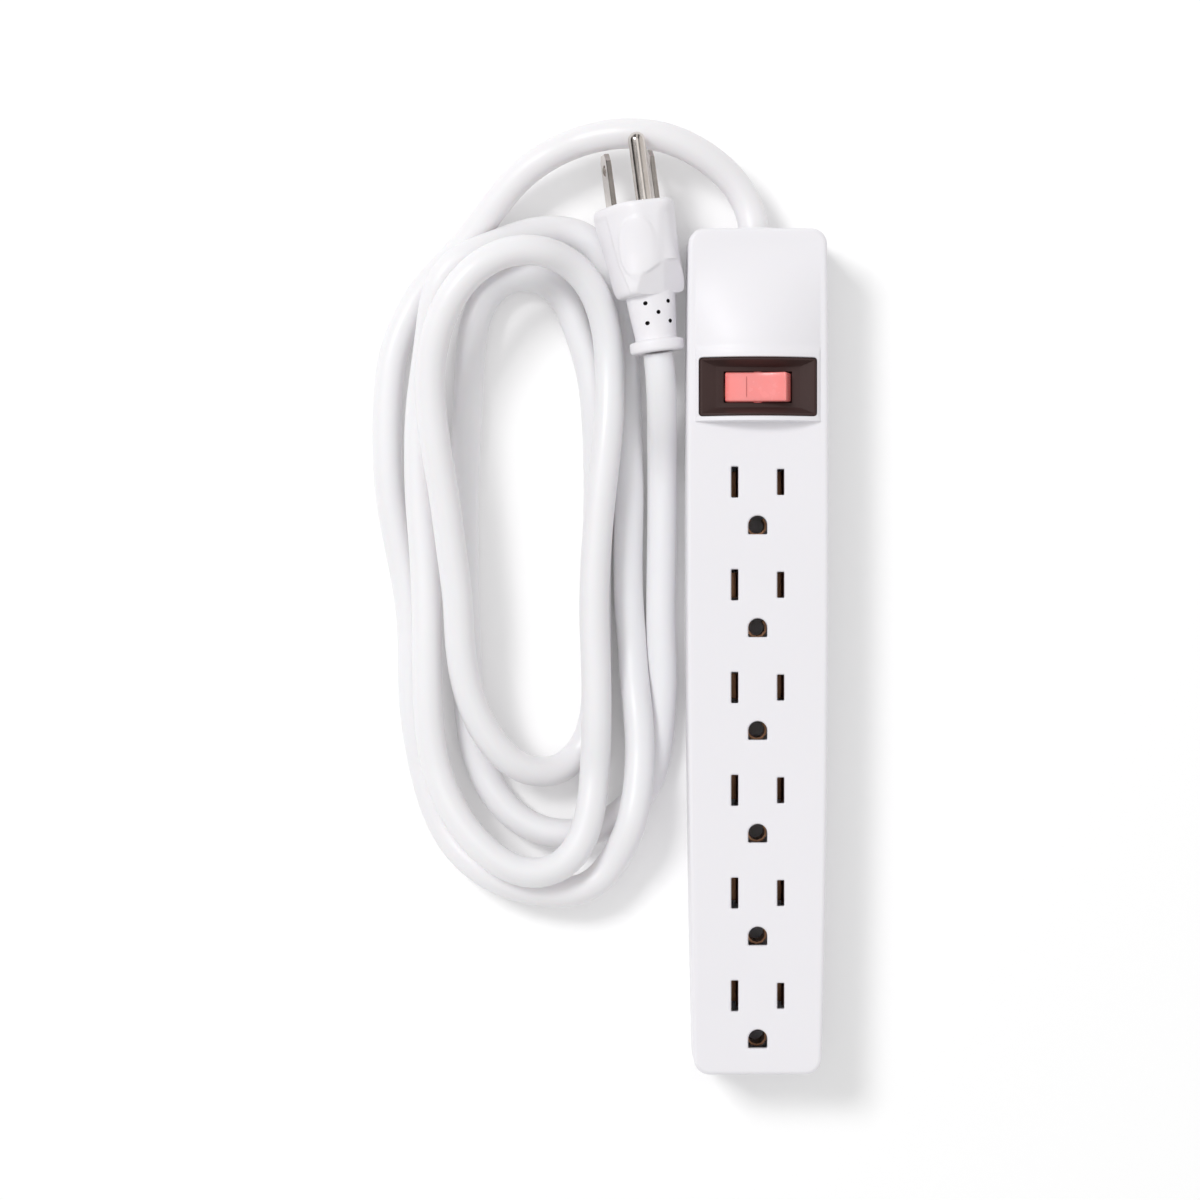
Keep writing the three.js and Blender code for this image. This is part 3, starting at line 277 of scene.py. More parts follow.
def lens_plastic():
    """Translucent pale red, with painted shade that darkens its colour at both ends and a painted
    highlight just inside the -X end.
    """
    n = Nodes("red_lens")
    split = n.add("ShaderNodeSeparateXYZ")
    n.link(n.place, split.inputs["Vector"])
    along = n.add("ShaderNodeMapRange")
    put(along, From_Min=-LENS_REACH, From_Max=LENS_REACH)
    n.link(split.outputs["X"], along.inputs["Value"])
    # Painted light along the lever: painted shade at both ends, a painted highlight just inside the
    # -X end; the glow takes the same colour.
    colour = n.ramp(
        along.outputs["Result"],
        [
            (0.0, (0.75, 0.16, 0.15)), (0.07, (0.90, 0.25, 0.235)), (0.3, (0.87, 0.268, 0.258)),
            (0.7, (0.87, 0.268, 0.258)), (0.945, (0.85, 0.25, 0.235)), (0.96, (0.70, 0.17, 0.16)),
        ],
    )
    put(n.shader, Subsurface_Radius=(0.004, 0.0012, 0.001), Subsurface_Scale=0.7)
    return n.set(
        colour=colour,
        roughness=n.spread(n.noise(300, 2), 0.2, 0.3),
        normal=n.bump(n.noise(700, 2), 0.08, 0.00005),
        subsurface=0.35,
        emission=colour,
        glow=0.16,
        specular=0.5,
        coat=0.3,
        coat_roughness=0.15,
    )


def lamp_glass():
    """Clear glass that holds a faint orange glow."""
    n = Nodes("lamp_glass")
    glow = n.ramp(n.noise(420, 2), [(0.35, (1.0, 0.42, 0.16)), (0.65, (1.0, 0.62, 0.34))])
    return n.set(
        colour=glow, transmission=0.8, roughness=n.spread(n.noise(500, 2), 0.04, 0.09),
        ior=1.47, emission=glow, glow=0.5,
    )


# Each plastic: colour and its darker patches, roughness, grain and its depth, what light goes in,
# and how much it shines.
M = {
    "white_shell": plastic(
        "moulded_white", (0.875, 0.860, 0.892), (0.860, 0.846, 0.878), 0.42, 2600, 0.22, 0.04
    ),
    "white_plug": plastic(
        "moulded_white_plug", (0.900, 0.884, 0.912), (0.886, 0.870, 0.900), 0.4, 1800, 0.2, 0.05
    ),
    "white_lead": cord_jacket(),
    "black_moulding": plastic(
        "dark_moulding", (0.059, 0.034, 0.032), (0.051, 0.030, 0.028), 0.5, 2200, 0.25, 0, 0.16
    ),
    "red_lens": lens_plastic(),
    "brass": metal("rolled_brass", (0.40, 0.22, 0.13), (0.27, 0.145, 0.085), 0.36, (1, 0.05, 1)),
    "nickel": metal("nickel_plate", (0.68, 0.64, 0.61), (0.54, 0.50, 0.47), 0.2, (1, 0.06, 1), 0.2),
    "steel": metal("zinc_plate", (0.62, 0.63, 0.65), (0.45, 0.46, 0.48), 0.34, (0.3, 1, 1)),
    "ceramic": plastic("resistor_coating", (0.55, 0.38, 0.22), (0.42, 0.28, 0.16), 0.55, 1500, 0.4),
    "black_wire": plastic(
        "black_vinyl", (0.03, 0.03, 0.032), (0.022, 0.022, 0.024), 0.38, 1500, 0.2
    ),
    "white_wire": plastic("white_vinyl", (0.85, 0.85, 0.84), (0.8, 0.8, 0.79), 0.4, 1500, 0.2),
    "green_wire": plastic("green_vinyl", (0.03, 0.32, 0.09), (0.02, 0.24, 0.07), 0.38, 1500, 0.2),
    "lamp_glass": lamp_glass(),
    "hole_shade": plastic(
        "shaded_hole", (0.05, 0.045, 0.048), (0.04, 0.036, 0.038), 0.6, 1500, 0.2
    ),
    "mark": plastic("mark_red", (0.62, 0.13, 0.12), (0.55, 0.11, 0.1), 0.35, 1500, 0.15),
}


# ---------------- mesh helpers


def smoothstep(value, low, high):
    """0 below low, 1 above high, and a smooth rise between them."""
    t = min(1.0, max(0.0, (value - low) / (high - low)))
    return t * t * (3 - 2 * t)


def arc(cx, cy, radius, first, last, steps):
    """Points from one angle to another, in degrees, with both ends."""
    angles = [math.radians(first + (last - first) * k / steps) for k in range(steps + 1)]
    return [(cx + radius * math.cos(a), cy + radius * math.sin(a)) for a in angles]


def mesh_of(name, vertices, faces):
    """A mesh from points in millimetres."""
    mesh = bpy.data.meshes.new(name)
    mesh.from_pydata([Vector(v) * MM for v in vertices], [], faces)
    return mesh


def face_outwards(mesh, weld=0.0):
    """Turns every face outwards, after welding the vertices that lie within a distance."""
    work = bmesh.new()
    work.from_mesh(mesh)
    if weld:
        bmesh.ops.remove_doubles(work, verts=work.verts, dist=weld)
    bmesh.ops.recalc_face_normals(work, faces=work.faces)
    work.to_mesh(mesh)
    work.free()


def piece(name, vertices, faces, material, slot, body="strip", replaces=(), smooth=40.0):
    """A mesh piece from points and faces that are already closed."""
    mesh = mesh_of(name, vertices, faces)
    mesh.validate()
    face_outwards(mesh)
    return finish_mesh(name, mesh, material, slot, body, replaces, smooth)


def finish_mesh(name, mesh, material, slot, body="strip", replaces=(), smooth=40.0):
    """Shades the mesh smooth except where faces meet past an angle, and hands it to its body."""
    mesh.shade_smooth()
    mesh.set_sharp_from_angle(angle=math.radians(smooth))
    mesh.materials.append(material)
    obj = bpy.data.objects.new(name, mesh)
    bpy.context.scene.collection.objects.link(obj)
    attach(obj, body)
    if replaces:
        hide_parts(*replaces)
    return obj


def ring_faces(first, second, count):
    """The band of faces between two rings, given by the numbers of their first vertices."""
    sides = [(k, (k + 1) % count) for k in range(count)]
    return [(first + a, first + b, second + b, second + a) for a, b in sides]


def closed_run(rings):
    """Vertices and faces of a run of rings with flat ends."""
    count = len(rings[0])
    vertices = [v for ring in rings for v in ring]
    faces = []
    for i in range(len(rings) - 1):
        faces += ring_faces(i * count, (i + 1) * count, count)
    last = (len(rings) - 1) * count
    faces += [tuple(range(count)), tuple(reversed(range(last, last + count)))]
    return vertices, faces


def weighted_normals(obj):
    """Keeps large flat faces flat next to their rounded edges."""
    modifier = obj.modifiers.new("weighted_normals", "WEIGHTED_NORMAL")
    modifier.keep_sharp = True
    modifier.weight = 60


# ---------------- lead

CORD_DIAMETER = 8.4
# Settling: rounds, the length held at both ends, and the length along the lead that can't collide.
SETTLE_ROUNDS = 260
HELD_LENGTH = 24
OWN_REACH = 1.6 * CORD_DIAMETER
# The line that the lead keeps clear of beside the case, and how far along the case it reaches.
CASE_SIDE = {"x": -24.0, "end": 116.5}
# How much higher the coil stands than it settles: by its height, and at the end far from the plug.
SPRING = 0.28
END_LIFT = 3
# It stands higher only clear of the case and of the plug. Each pair is where a change starts and
# where it ends.
CASE_CLEAR = (31, 39)
PLUG_SIDE = (-62, -48)
PLUG_REACH = (60, 88)
FAR_END = (28, 62)
ROUTE_STEP = 3.2
LEAD_STEP = 2.1

# The lead's way from the case to the plug, by the places of its middle where it bends. Each turn of
# the coil ends where the next one starts.
LEAD_OUT = [
    (0, 96, 13), (0, 105, 13), (-0.05, 113, 13), (-0.9, 120.6, 13.2), (-3.4, 127.4, 13.6),
    (-8.2, 133.4, 15.4), (-15.6, 138.9, 17.6), (-25.5, 143.2, 19.2), (-35.1, 144.4, 18.8),
    (-44.6, 143.6, 17), (-54.9, 140.3, 14.6), (-64.8, 134.3, 12.6), (-73.3, 125, 10.6),
]
COIL_TURNS = [
    [
        (-81.5, 114.5, 8), (-87.7, 108.1, 7.2), (-93.4, 101.8, 6.3), (-97.9, 93.9, 5.5),
        (-101.6, 84.9, 4.8), (-103.3, 73.6, 4.3), (-103.7, 56.3, 4.3), (-102.7, 42.5, 4.3),
        (-100.1, 28.3, 4.3), (-97.5, 14.2, 4.3), (-96.6, 2.9, 4.3), (-96.3, -14.1, 4.3),
        (-92.2, -37.8, 4.6), (-86.6, -51.8, 6), (-79.9, -59.6, 8), (-71.9, -64.8, 9),
        (-63.4, -67.2, 9.5), (-54.3, -68.1, 9.5), (-45.9, -66.2, 9.2), (-40.8, -60.4, 9.4),
        (-37.1, -54, 10.5), (-33.5, -41.9, 12.2), (-32.4, -30.7, 12.7), (-32.9, -13.9, 9.8),
        (-34.3, 0.1, 5.5), (-35.5, 14.2, 4.3), (-35.7, 28.3, 4.3), (-35.4, 42.5, 4.3),
        (-35.7, 56.6, 4.3), (-36, 70.7, 4.3), (-36.8, 84.9, 4.3), (-38.7, 100, 4.3),
    ],
    [
        (-42.2, 111, 4.3), (-47.6, 116.6, 5), (-55.8, 118.6, 6.8), (-63.7, 117.4, 9.5),
        (-74.1, 113.2, 14), (-82, 109.8, 16.5), (-86.8, 105.8, 16.5), (-89.3, 100, 16),
        (-90.6, 93, 15), (-91.8, 84.5, 14), (-92.8, 77, 13.5), (-94, 68, 13), (-94.4, 53.6, 13),
        (-94.1, 42.3, 13), (-93, 28.2, 13.5), (-92.3, 14.2, 14), (-92.1, -5, 14.5),
        (-91.2, -23, 14.8), (-88.6, -35.5, 15), (-82.5, -48.3, 15.4), (-77.3, -54.3, 15.8),
        (-70.7, -59.6, 16), (-62.5, -62.3, 16), (-53.6, -59.6, 15.4), (-48, -51.3, 14),
        (-45.8, -41.4, 12.9), (-44.8, -25, 12.7), (-44.6, -8, 12.7), (-45.2, 12, 12.7),
        (-44.6, 28.2, 12.7), (-43.4, 43, 12.7), (-42, 56, 12.7), (-41, 70, 12.8), (-41, 82, 13.3),
    ],
    [
        (-42.4, 92.4, 14.8), (-45.2, 100, 17), (-50.5, 106.8, 20), (-58.6, 110.9, 22.5),
        (-66.1, 111.4, 24), (-73.6, 109, 25), (-80, 104.4, 25.2), (-86, 96.1, 24.6),
        (-89.1, 88, 23.6), (-90.7, 79.7, 22.8), (-90.8, 70, 22.2), (-89.3, 57, 21.6),
        (-86.9, 42.2, 20.6), (-85.1, 28.2, 19.6), (-83.3, 14.2, 18.6), (-82.8, 3, 17.8),
        (-81.6, -6.3, 17), (-79.1, -15.5, 16.2), (-74.8, -24.1, 15.2), (-68, -31.4, 13.6),
        (-61.2, -34.2, 11), (-54.6, -33.2, 8), (-49, -28.6, 5.4), (-45.6, -21, 4.3),
        (-44.6, -11, 4.3), (-44.4, 0.1, 4.3), (-44.6, 14.2, 4.3), (-44.4, 28.3, 4.3),
        (-44, 45, 4.3), (-44.2, 60, 4.3), (-45.1, 72, 4.3), (-47.2, 82.8, 4.3),
    ],
    [
        (-50.6, 92.2, 4.3), (-53.4, 99, 4.3), (-58.4, 104, 4.3), (-65, 105.9, 4.3),
        (-71.6, 104, 4.3), (-76.4, 99, 4.3), (-79, 92, 4.3), (-80.2, 84.5, 4.3),
        (-81, 67.7, 4.3), (-81.9, 51, 4.3), (-82.2, 38, 4.3), (-82.2, 28.3, 4.3), (-82, 14.2, 4.3),
        (-81.4, 0.1, 4.3), (-80.8, -14.1, 4.3), (-79.4, -25.4, 4.3), (-77.2, -33, 4.3),
        (-73.4, -40.4, 4.3), (-67.8, -46.6, 4.3), (-61, -50.6, 4.3), (-53, -51.9, 4.3),
        (-44, -50.2, 4.3), (-36, -45.2, 4.3), (-30.4, -37.8, 4.3),
    ],
]
TAIL_OUT = [
    (-27.6, -29, 4.3), (-26.8, -20, 4.3), (-26.4, -4, 4.3), (-26.4, 14, 4.3), (-26.2, 28, 4.3),
    (-26.1, 38, 4.5), (-26.1, 45.5, 5.4), (-26.1, 53, 7.4), (-26.2, 60.5, 10.6), (-26.3, 67.5, 14),
    (-26.6, 74, 16.8), (-27, 79.4, 17.9), (-27.4, 82.7, 18.03),
]


def flowing(points, step):
    """A smooth line through the points, evenly spaced (centripetal Catmull-Rom)."""
    p = np.array(points, float)
    p = np.vstack([2 * p[0] - p[1], p, 2 * p[-1] - p[-2]])
    line = []

    def mix(a, b, low, high, t):
        return (high - t) / (high - low) * a + (t - low) / (high - low) * b

    for i in range(1, len(p) - 2):
        a, b, c, d = p[i - 1 : i + 3]
        t1 = np.linalg.norm(b - a) ** 0.5
        t2 = t1 + np.linalg.norm(c - b) ** 0.5
        t3 = t2 + np.linalg.norm(d - c) ** 0.5
        for t in np.linspace(t1, t2, 24, endpoint=False):
            bc = mix(b, c, t1, t2, t)
            before = mix(mix(a, b, 0.0, t1, t), bc, 0.0, t2, t)
            after = mix(bc, mix(c, d, t2, t3, t), t1, t3, t)
            line.append(mix(before, after, t1, t2, t))
    line.append(p[-2])
    return evenly(np.array(line), step)


def evenly(line, step):
    """The line with its points at even distances of about a step."""
    lengths = np.concatenate([[0], np.cumsum(np.linalg.norm(np.diff(line, axis=0), axis=1))])
    count = max(2, round(lengths[-1] / step) + 1)
    places = np.linspace(0, lengths[-1], count)
    return np.column_stack([np.interp(places, lengths, line[:, k]) for k in range(3)])


def settle(line):
    """Lets the lead come to rest on the floor and on itself, close to the way it was laid."""
    p = line.copy()
    index = np.arange(len(p))
    spacing = np.linalg.norm(p[1] - p[0])
    ends = int(HELD_LENGTH / spacing)
    free = (index >= ends) & (index < len(p) - ends)
    near = np.abs(np.subtract.outer(index, index)) <= round(OWN_REACH / spacing)
    weight = np.where(free[None, :], 0.5, 1.0) * free[:, None]
    sag = np.array([0.0, 0.0, 0.03])
    pull = np.array([0.06, 0.06, 0.015])
    stiffness, sharing = 0.3, 0.45
    lowest = CORD_DIAMETER / 2 + 0.02
    for _ in range(SETTLE_ROUNDS):
        p[free] -= sag
        p[free] += pull * (line[free] - p[free])
        bend = np.zeros_like(p)
        bend[1:-1] = 0.5 * (p[:-2] + p[2:]) - p[1:-1]
        unbend = np.zeros_like(p)
        unbend[1:-1] = bend[1:-1] - 0.5 * (bend[:-2] + bend[2:])
        p[free] += stiffness * unbend[free]
        for _ in range(2):
            delta = p[:, None, :] - p[None, :, :]
            distance = np.sqrt((delta**2).sum(2)) + 1e-9
            touching = (distance < CORD_DIAMETER) & ~near
            push = np.where(touching, (CORD_DIAMETER - distance) / distance, 0.0)
            shove = (delta * (push * weight)[:, :, None]).sum(1)
            crowd = np.maximum(1.0, (push > 0).sum(1) * sharing)
            p += shove / crowd[:, None]
            p[free & (p[:, 2] < lowest), 2] = lowest
            p[free & (p[:, 0] > CASE_SIDE["x"]) & (p[:, 1] < CASE_SIDE["end"]), 0] = CASE_SIDE["x"]
    return p


def tube(line, radius, sides):
    """Vertices and faces of a round tube along a line; its sides don't twist around it."""
    line = np.asarray(line, float)
    tangent = np.gradient(line, axis=0)
    tangent /= np.linalg.norm(tangent, axis=1)[:, None]
    side = np.cross(tangent[0], [0.0, 0.0, 1.0])
    if np.linalg.norm(side) < 1e-3:
        side = np.array([1.0, 0.0, 0.0])
    radii = np.broadcast_to(np.asarray(radius, float), (len(line),))
    angles = [2 * math.pi * k / sides for k in range(sides)]
    rings = []
    for middle, t, r in zip(line, tangent, radii):
        side = side - t * side.dot(t)
        side /= np.linalg.norm(side)
        other = np.cross(t, side)
        offsets = [math.cos(a) * side + math.sin(a) * other for a in angles]
        rings.append([tuple(middle + r * offset) for offset in offsets])
    return closed_run(rings)


def spring_up(line):
    """Lets the stiff coil stand higher where nothing holds it, with the same outline from above."""
    rest = CORD_DIAMETER / 2
    centre = np.array(CAMERA[:2]) / MM
    height = CAMERA[2] / MM
    out = []
    for x, y, z in line:
        near_plug = smoothstep(x, *PLUG_SIDE) * smoothstep(y, *PLUG_REACH)
        free = smoothstep(-x, *CASE_CLEAR) * (1 - near_plug)
        far_end = smoothstep(-y, *FAR_END)
        high = rest + (z - rest) * (1 + SPRING * free) + END_LIFT * far_end
        flat = centre + (np.array([x, y]) - centre) * (height - high) / (height - z)
        out.append((*flat, high))
    return np.array(out)


route = LEAD_OUT + [p for turn in COIL_TURNS for p in turn] + TAIL_OUT
lead_line = evenly(spring_up(settle(flowing(route, ROUTE_STEP))), LEAD_STEP)

mains_lead = piece(
    "mains_lead", *tube(lead_line, CORD_DIAMETER / 2, 28), M["white_lead"], "white_lead",
    replaces=("cord_lead", "cord_coil", "cord_tail"), smooth=60,
)


# ---------------- case

LENGTH = 234
HEIGHT = 27
SIDE = {"half": 19.6, "widest": 40, "bulge": 12400}
CORNER = 4.5
CORNER_STEPS = 9
SIDE_POINTS = 142
EDGE = 1.2
EDGE_STEPS = 7
WALL = 2.2
# The gap between the base and the cover: its lower and its upper edge.
SEAM = (3.0, 3.3)
ROOF_UNDERSIDE = 24.6
MOUTH_CHAMFER = 0.42
OUTLET_YS = [46.8 - 28.4 * i for i in range(6)]
BLADE_X = 6.35
SLOT_HALF = 1.0
SLOT_CORNER = 0.3
NEUTRAL_SLOT = 8.6
HOT_SLOT = 7.2
GROUND_BACK = 11.9
GROUND_HOLE = {"radius": 2.65, "foot": 2.55, "soft": 0.35}
SWITCH_Y = 73
SWITCH_HOLE = {"half": (16.3, 8.1), "corner": 0.9}
HOOD = {"half": 17.4, "rise": 5.0, "front": 63.3, "crest": 84, "end": 113}
# The low wall at the hood's sides: its height and where it ends towards the lead.
HOOD_LIP = {"rise": 0.45, "end": 84.5}
BASE_CHAMFER = 0.3
KEYHOLE_YS = (57, -93)
KEYHOLE_DEPTH = 5.1
SCREW_PLACES = [(sx * 13.4, y) for y in (-108, 12, 108) for sx in (-1, 1)]
SCREW_SEAT = {"radius": 3.1, "depth": 1.75}


def half_width(y):
    """Half the case's width at a place along it: its sides bulge slightly."""
    return SIDE["half"] - (y - SIDE["widest"]) ** 2 / SIDE["bulge"]


def outline(inset):
    """The case's outline from above, moved inwards."""
    end = LENGTH / 2 - CORNER
    radius = CORNER - inset
    side = [(half_width(y) - inset, y) for y in np.linspace(-end, end, SIDE_POINTS)]

    def corner(sx, sy, first):
        cx = sx * (half_width(sy * end) - CORNER)
        return arc(cx, sy * end, radius, first, first + 90, CORNER_STEPS)[1:-1]

    def across(sy):
        half = half_width(sy * end) - CORNER
        return [(-sy * half * c, sy * (LENGTH / 2 - inset)) for c in np.linspace(-1, 1, 23)]

    ring = side + corner(1, 1, 0) + across(1) + corner(-1, 1, 90)
    ring += [(-x, y) for x, y in side[::-1]]
    return ring + corner(-1, -1, 180) + across(-1) + corner(1, -1, 270)


def at(ring, z):
    return [(x, y, z) for x, y in ring]


def hood_rise(x, y):
    """How far the hood stands above the flat face: an arch that ends in the collar's wall."""
    arch = HOOD["rise"] * max(0.0, 1 - (x / HOOD["half"]) ** 2)
    back = smoothstep(HOOD["end"] - y, 0, HOOD["end"] - HOOD["crest"])
    front = smoothstep(y, HOOD["front"] - 0.1, HOOD["front"] + 0.35)
    lip = HOOD_LIP["rise"] * smoothstep(HOOD["half"] + 0.05 - abs(x), 0, 0.5) * front
    lip *= smoothstep(HOOD_LIP["end"] - y, 0, 2.2)
    return arch * back * front + lip


def inside(point, ring):
    """Whether a point lies within a ring, seen from above."""
    x, y = point
    odd = False
    for (x0, y0), (x1, y1) in zip(ring, ring[1:] + ring[:1]):
        if (y0 > y) != (y1 > y) and x < (x1 - x0) * (y - y0) / (y1 - y0) + x0:
            odd = not odd
    return odd


def sheet_faces(outer, holes, inner_points):
    """Triangles that fill a ring around its holes, with loose points inside."""
    rings = [outer] + holes
    coords, edges = [], []
    for ring in rings:
        start = len(coords)
        coords += [Vector((x, y)) for x, y in ring]
        edges += [(start + k, start + (k + 1) % len(ring)) for k in range(len(ring))]
    coords += [Vector(p) for p in inner_points]
    points, _, faces, *_ = delaunay_2d_cdt(coords, edges, [], 0, 1e-6)
    flat = [(p.x, p.y) for p in points]
    kept = []
    for face in faces:
        middle = [sum(flat[i][k] for i in face) / len(face) for k in range(2)]
        if inside(middle, outer) and not any(inside(middle, hole) for hole in holes):
            kept.append(tuple(face))
    return flat, kept


def sheet(outer, holes, z):
    """A flat sheet at one height that fills a ring around its holes."""
    flat, faces = sheet_faces(outer, holes, [])
    return at(flat, z), faces


def rounded_box(cx, cy, hx, hy, radius, per_side=1):
    """A box with rounded corners, as a ring; each side is split into per_side parts."""
    corners = []
    for sx, sy, first in ((1, 1, 0), (-1, 1, 90), (-1, -1, 180), (1, -1, 270)):
        mx, my = cx + sx * (hx - radius), cy + sy * (hy - radius)
        corners.append(arc(mx, my, radius, first, first + 90, 4))
    ring = []
    for corner, following in zip(corners, corners[1:] + corners[:1]):
        (x0, y0), (x1, y1) = corner[-1], following[0]
        parts = [k / per_side for k in range(1, per_side)]
        ring += corner + [(x0 + (x1 - x0) * t, y0 + (y1 - y0) * t) for t in parts]
    return ring


def ground_outline(cy, grow):
    """An arch: a half circle over straight sides and a flat foot."""
    r = GROUND_HOLE["radius"] + grow
    foot = cy - GROUND_HOLE["foot"] - grow
    soft = GROUND_HOLE["soft"]
    ring = arc(0, cy, r, 0, 180, 18)
    for sx, first in ((-1, 180), (1, 270)):
        ring += arc(sx * (r - soft), foot + soft, soft, first, first + 90, 4)
    return ring


def slot_outline(x, y, length, grow):
    return rounded_box(x, y, SLOT_HALF + grow, length / 2 + grow, SLOT_CORNER + grow)


def switch_outline(grow):
    """The hole of the switch, whose sides have as many points as the hood needs to be smooth."""
    hx, hy = SWITCH_HOLE["half"]
    return rounded_box(0, SWITCH_Y, hx + grow, hy + grow, SWITCH_HOLE["corner"] + grow, 24)


def face_holes(grow):
    """The outlines of every hole in the outlet face, each moved outwards by grow."""
    holes = []
    for y in OUTLET_YS:
        holes.append(slot_outline(-BLADE_X, y, NEUTRAL_SLOT, grow))
        holes.append(slot_outline(BLADE_X, y, HOT_SLOT, grow))
        holes.append(ground_outline(y - GROUND_BACK, grow))
    holes.append(switch_outline(grow * 0.5))
    return holes


def solid_piece(name, rings, sheets, material, **placing):
    """A piece from bands between rings and filled sheets, welded where they meet."""
    vertices, faces = [], []
    for first, second in rings:
        start = len(vertices)
        vertices += list(first) + list(second)
        faces += ring_faces(start, start + len(first), len(first))
    for points, triangles in sheets:
        start = len(vertices)
        vertices += points
        faces += [tuple(start + i for i in face) for face in triangles]
    mesh = mesh_of(name, vertices, faces)
    face_outwards(mesh, weld=2e-6)
    return finish_mesh(name, mesh, material, **placing)


def lifted(ring, z):
    return [(x, y, z + hood_rise(x, y)) for x, y in ring]


def top_cover():
    """The long shell: its sides and rounded rim, the roof with its holes, and its inside."""
    profile = [
        (0.32, SEAM[1]), (0.1, SEAM[1] + 0.12), (0, SEAM[1] + 0.35), (0, 12), (0, 20),
        (0, HEIGHT - EDGE),
    ]
    for k in range(1, EDGE_STEPS + 1):
        a = math.radians(90 * k / EDGE_STEPS)
        profile.append((EDGE * (1 - math.cos(a)), HEIGHT - EDGE + EDGE * math.sin(a)))
    loops = []
    for inset, z in profile:
        share = max(0.0, (z - HEIGHT + EDGE) / EDGE)
        loops.append([(x, y, z + hood_rise(x, y) * share) for x, y in outline(inset)])
    rings = list(zip(loops, loops[1:]))

    # Loose points of the roof, close together where the hood starts and falls.
    rows = [63.0, 63.2, 63.28, 63.36, 63.44, 63.54, 63.64, 63.75, 63.9]
    rows += [82 + 0.5 * k for k in range(1, 8)] + list(np.arange(86.5, 113.6, 1.4))
    rows += list(np.arange(64.6, 82, 1.6))
    columns = [-17.35, -17.1, -16.85] + list(np.linspace(-16.6, 16.6, 34)) + [16.85, 17.1, 17.35]
    room = switch_outline(MOUTH_CHAMFER * 0.5 + 0.25)
    grid = [
        (x, y) for y in rows for x in columns
        if abs(x) < half_width(y) - EDGE - 0.12 and not inside((x, y), room)
    ]
    mouths = face_holes(MOUTH_CHAMFER)
    flat, faces = sheet_faces(outline(EDGE), mouths, grid)
    sheets = [(lifted(flat, HEIGHT), faces)]
    for wide, narrow in zip(mouths, face_holes(0)):
        pairs = zip(wide, narrow)
        between = [tuple(w + (n - w) * 0.45 for w, n in zip(a, b)) for a, b in pairs]
        steps = [
            lifted(wide, HEIGHT), lifted(between, HEIGHT - MOUTH_CHAMFER * 0.25),
            lifted(narrow, HEIGHT - MOUTH_CHAMFER), at(narrow, ROOF_UNDERSIDE),
        ]
        rings += list(zip(steps, steps[1:]))

    inner = outline(WALL)
    foot = at(inner, SEAM[1])
    rings += [(foot, at(inner, ROOF_UNDERSIDE)), (loops[0], foot)]
    sheets.append(sheet(inner, face_holes(0), ROOF_UNDERSIDE))
    weighted_normals(solid_piece(
        "top_cover_shell", rings, sheets, M["white_shell"],
        slot="white_shell", replaces=("top_cover",), smooth=32,
    ))


def keyhole_outline(cy, grow):
    """A round mouth for the screw's head with a narrow slot that runs to +Y."""
    head, half, reach = 4.2 + grow, 2.1 + grow, 8.0
    join = math.degrees(math.asin(half / head))
    mouth = arc(0, cy, head, 90 + join, 450 - join, 24)
    return mouth + arc(0, cy + reach, half, 0, 180, 8)


def circle(cx, cy, radius, count=24):
    return arc(cx, cy, radius, 0, 360, count)[:-1]


def base_holes(grow):
    """The outlines of the keyholes and of the screws' seats, each moved outwards by grow."""
    seats = [circle(x, y, SCREW_SEAT["radius"] + grow) for x, y in SCREW_PLACES]
    return [keyhole_outline(y, grow) for y in KEYHOLE_YS] + seats


def base_cover():
    """The bottom shell with the lip that stands inside the top cover."""
    profile = [
        (1.0, 0), (0.55, 0.14), (0.2, 0.5), (0.05, 0.95), (0, 1.4), (0, SEAM[0] - 0.3),
        (0.08, SEAM[0] - 0.1), (0.3, SEAM[0]),
    ]
    lip = [(0.3, SEAM[0]), (0.3, 5.4), (0.5, 5.6), (1.5, 5.6), (1.7, 5.4), (1.7, SEAM[0])]
    profile += [(WALL + inset, z) for inset, z in lip]
    loops = [at(outline(inset), z) for inset, z in profile]
    rings = list(zip(loops, loops[1:]))
    mouths = base_holes(BASE_CHAMFER)
    sheets = [sheet(outline(profile[0][0]), mouths, 0), sheet(outline(profile[-1][0]), [], SEAM[0])]
    depths = [KEYHOLE_DEPTH] * len(KEYHOLE_YS) + [SCREW_SEAT["depth"]] * len(SCREW_PLACES)
    for wide, narrow, depth in zip(mouths, base_holes(0), depths):
        steps = [at(wide, 0), at(narrow, BASE_CHAMFER), at(narrow, depth)]
        rings += list(zip(steps, steps[1:]))
        sheets.append(sheet(narrow, [], depth))
    weighted_normals(solid_piece(
        "base_cover_shell", rings, sheets, M["white_shell"],
        slot="white_shell", replaces=("base_cover",), smooth=32,
    ))


top_cover()
base_cover()


# ---------------- switch

BEZEL = {
    "half": (16.15, 7.95), "rim": 0.6, "floor": (11.5, 5.6), "floor_z": 26.8, "well": (9.4, 4.3),
    "box": (10.9, 6.1), "box_z": 16, "flange_z": 24,
}
PIVOT = (0, SWITCH_Y, 25)
TILT = 10
# The lever about its pivot: half length, half width, height at its ends, hollow of its top, foot.
LEVER = {"half": 8.5, "side": 4.0, "top": 4.4, "dish": 1.1, "foot": -1.2}
# Its ends lean outwards: how far, from which place along it, and over which depth.
END_LEAN = {"reach": 0.6, "from": 7.9, "depth": 3.6}
MARK = {"x": -2.6, "half": 0.15, "reach": 2.9, "proud": 0.02, "thick": 0.06}


def bezel_ring(hx, hy, height):
    """A rectangular ring about the switch's middle, with as many points on every ring."""
    across, along = 30, 14
    ring = [(-hx + 2 * hx * k / across, -hy) for k in range(across)]
    ring += [(hx, -hy + 2 * hy * k / along) for k in range(along)]
    ring += [(-x, -y) for x, y in ring]
    return [(x, y + SWITCH_Y, height(x)) for x, y in ring]


